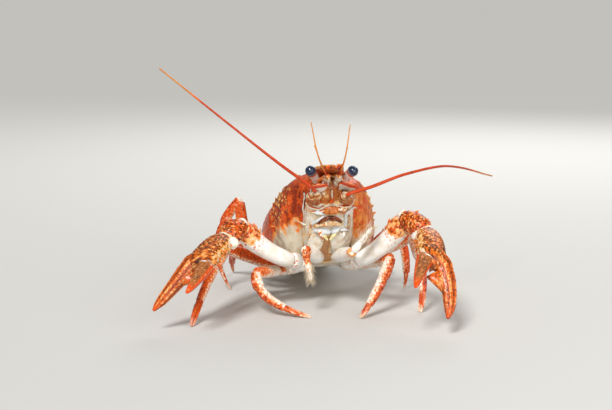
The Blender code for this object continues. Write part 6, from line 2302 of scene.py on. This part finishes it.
LEGS = (
    WalkingLeg("leg2_left", (6.8, 40.5, -13.4), (16.6, 3.4, 15.6), (13.0, 0.0, 6.2), (8.0, -3.0), 1.2, True,
        None, 0.75),
    WalkingLeg("leg3_left", (6.9, 45.5, -12.8), (22.7, 12.0, 20.2), (27.5, 8.0, 10.0), (24.8, 3.9), 1.05, True,
        None, 1.0),
    WalkingLeg("leg4_left", (6.8, 50.2, -12.2), (19.9, 30.0, 20.0), (24.0, 31.0, 10.0), (22.5, 35.2), 1.0, False,
        None, 1.0),
    WalkingLeg("leg5_left", (6.4, 54.8, -11.2), (14.5, 46.0, 10.8), (19.5, 52.0, 8.0), (17.5, 59.0), 0.95, False,
        None, 0.8),
    WalkingLeg("leg2_right", (-6.8, 40.0, -13.2), (-20.5, 3.4, 11.4), (-21.0, 0.5, 3.9), (-5.5, -2.0), 1.15, True,
        None, 0.75),
    WalkingLeg("leg3_right", (-6.9, 45.0, -12.8), (-28.8, 10.0, 17.0), (-34.5, 0.0, 10.0), (-37.2, -12.5), 1.05, True,
        None, 2.2),
    WalkingLeg("leg4_right", (-6.8, 50.0, -12.2), (-26.0, 30.0, 27.9), (-37.5, 31.0, 15.0), (-29.2, 34.0), 1.0, False,
        (-25.5, 29.0, 8.0), 0.85),
    WalkingLeg("leg5_right", (-6.4, 54.8, -11.2), (-25.5, 46.0, 10.8), (-31.0, 52.0, 8.0), (-29.5, 59.0), 0.95, False,
        None, 1.5),
)


@dataclass
class Studio:
    """The pale floor, the soft lights and the camera at the photograph's angle.

    Attributes:
        camera_place: where the camera stands, in the pose space.
        camera_drop: how far it looks down, in degrees.
        focal_pixels: its focal length in the photograph's pixels.
        frame_width: the photograph's width in pixels.
        sensor: the sensor's width in millimetres.
    """

    camera_place: Point = (-6.76, -396.56, 93.73)
    camera_drop: float = 9.0
    focal_pixels: float = 1480.0
    frame_width: float = 612.0
    sensor: float = 36.0

    def build(self) -> None:
        """Makes the floor, the lights and the camera."""
        self.floor()
        self.light("key", "SUN", (-0.15, -0.44, 0.44), 0.26, 2.75)
        self.light("fill", "AREA", (0.24, -0.40, 0.15), 0.35, 1.3)
        self.light("rim", "AREA", (0.12, 0.36, 0.30), 0.30, 0.9)
        world = bpy.data.worlds.new("soft_room")
        world.use_nodes = True
        set_node(world.node_tree, world.node_tree.nodes["Background"], {"Color": colour("#EEECE8"), "Strength": 0.32})
        bpy.context.scene.world = world
        bpy.context.scene.view_settings.view_transform = "Standard"
        data = bpy.data.cameras.new("camera")
        data.sensor_width = self.sensor
        data.lens = self.sensor * self.focal_pixels / self.frame_width
        data.clip_start = 0.01
        camera = bpy.data.objects.new("camera", data)
        camera.location = (np.array(self.camera_place) - ORIGIN) * MM
        camera.rotation_euler = (math.radians(90 - self.camera_drop), 0, 0)
        bpy.context.scene.collection.objects.link(camera)
        bpy.context.scene.camera = camera

    def floor(self) -> None:
        """Makes the plain matt floor, wide enough for every view."""
        bm = bmesh.new()
        bmesh.ops.create_grid(bm, x_segments=1, y_segments=1, size=40.0)
        mesh = bpy.data.meshes.new("floor")
        bm.to_mesh(mesh)
        bm.free()
        made = bpy.data.materials.new("pale_floor")
        made.use_nodes = True
        set_node(made.node_tree, made.node_tree.nodes["Principled BSDF"],
            {"Base Color": colour("#CFCECA"), "Roughness": 0.9, "Specular IOR Level": 0.0})
        mesh.materials.append(made)
        floor = bpy.data.objects.new("floor", mesh)
        bpy.context.scene.collection.objects.link(floor)

    def light(self, name: str, kind: str, place: Point, size: float, power: float) -> None:
        """Adds a soft light.

        Args:
            name: its name.
            kind: SUN for an even light, AREA for a panel.
            place: where it stands, in metres; it shines at the animal.
            size: the sun's angle in radians, or the panel's side in metres.
            power: its strength.
        """
        data = bpy.data.lights.new(name, kind)
        data.energy = power
        if kind == "SUN":
            data.angle = size
        else:
            data.size = size
        lamp = bpy.data.objects.new(name, data)
        lamp.location = place
        lamp.rotation_mode = "QUATERNION"
        lamp.rotation_quaternion = (Vector((0.0, 0.0, 0.02)) - Vector(place)).to_track_quat("-Z", "Y")
        bpy.context.scene.collection.objects.link(lamp)


def main() -> None:
    """Builds the crayfish and the studio."""
    logging.basicConfig(level=logging.INFO, format="%(name)s %(message)s")
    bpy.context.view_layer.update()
    Carapace().build()
    Head().build()
    Face().build()
    for side in Side:
        for part in (Eye, Antennule, Antenna, Maxilliped, Cheliped):
            part(side).build()
    for leg in LEGS:
        leg.build()
    Abdomen().build()
    Studio().build()
    bpy.context.view_layer.update()


if __name__ == "__main__":
    main()
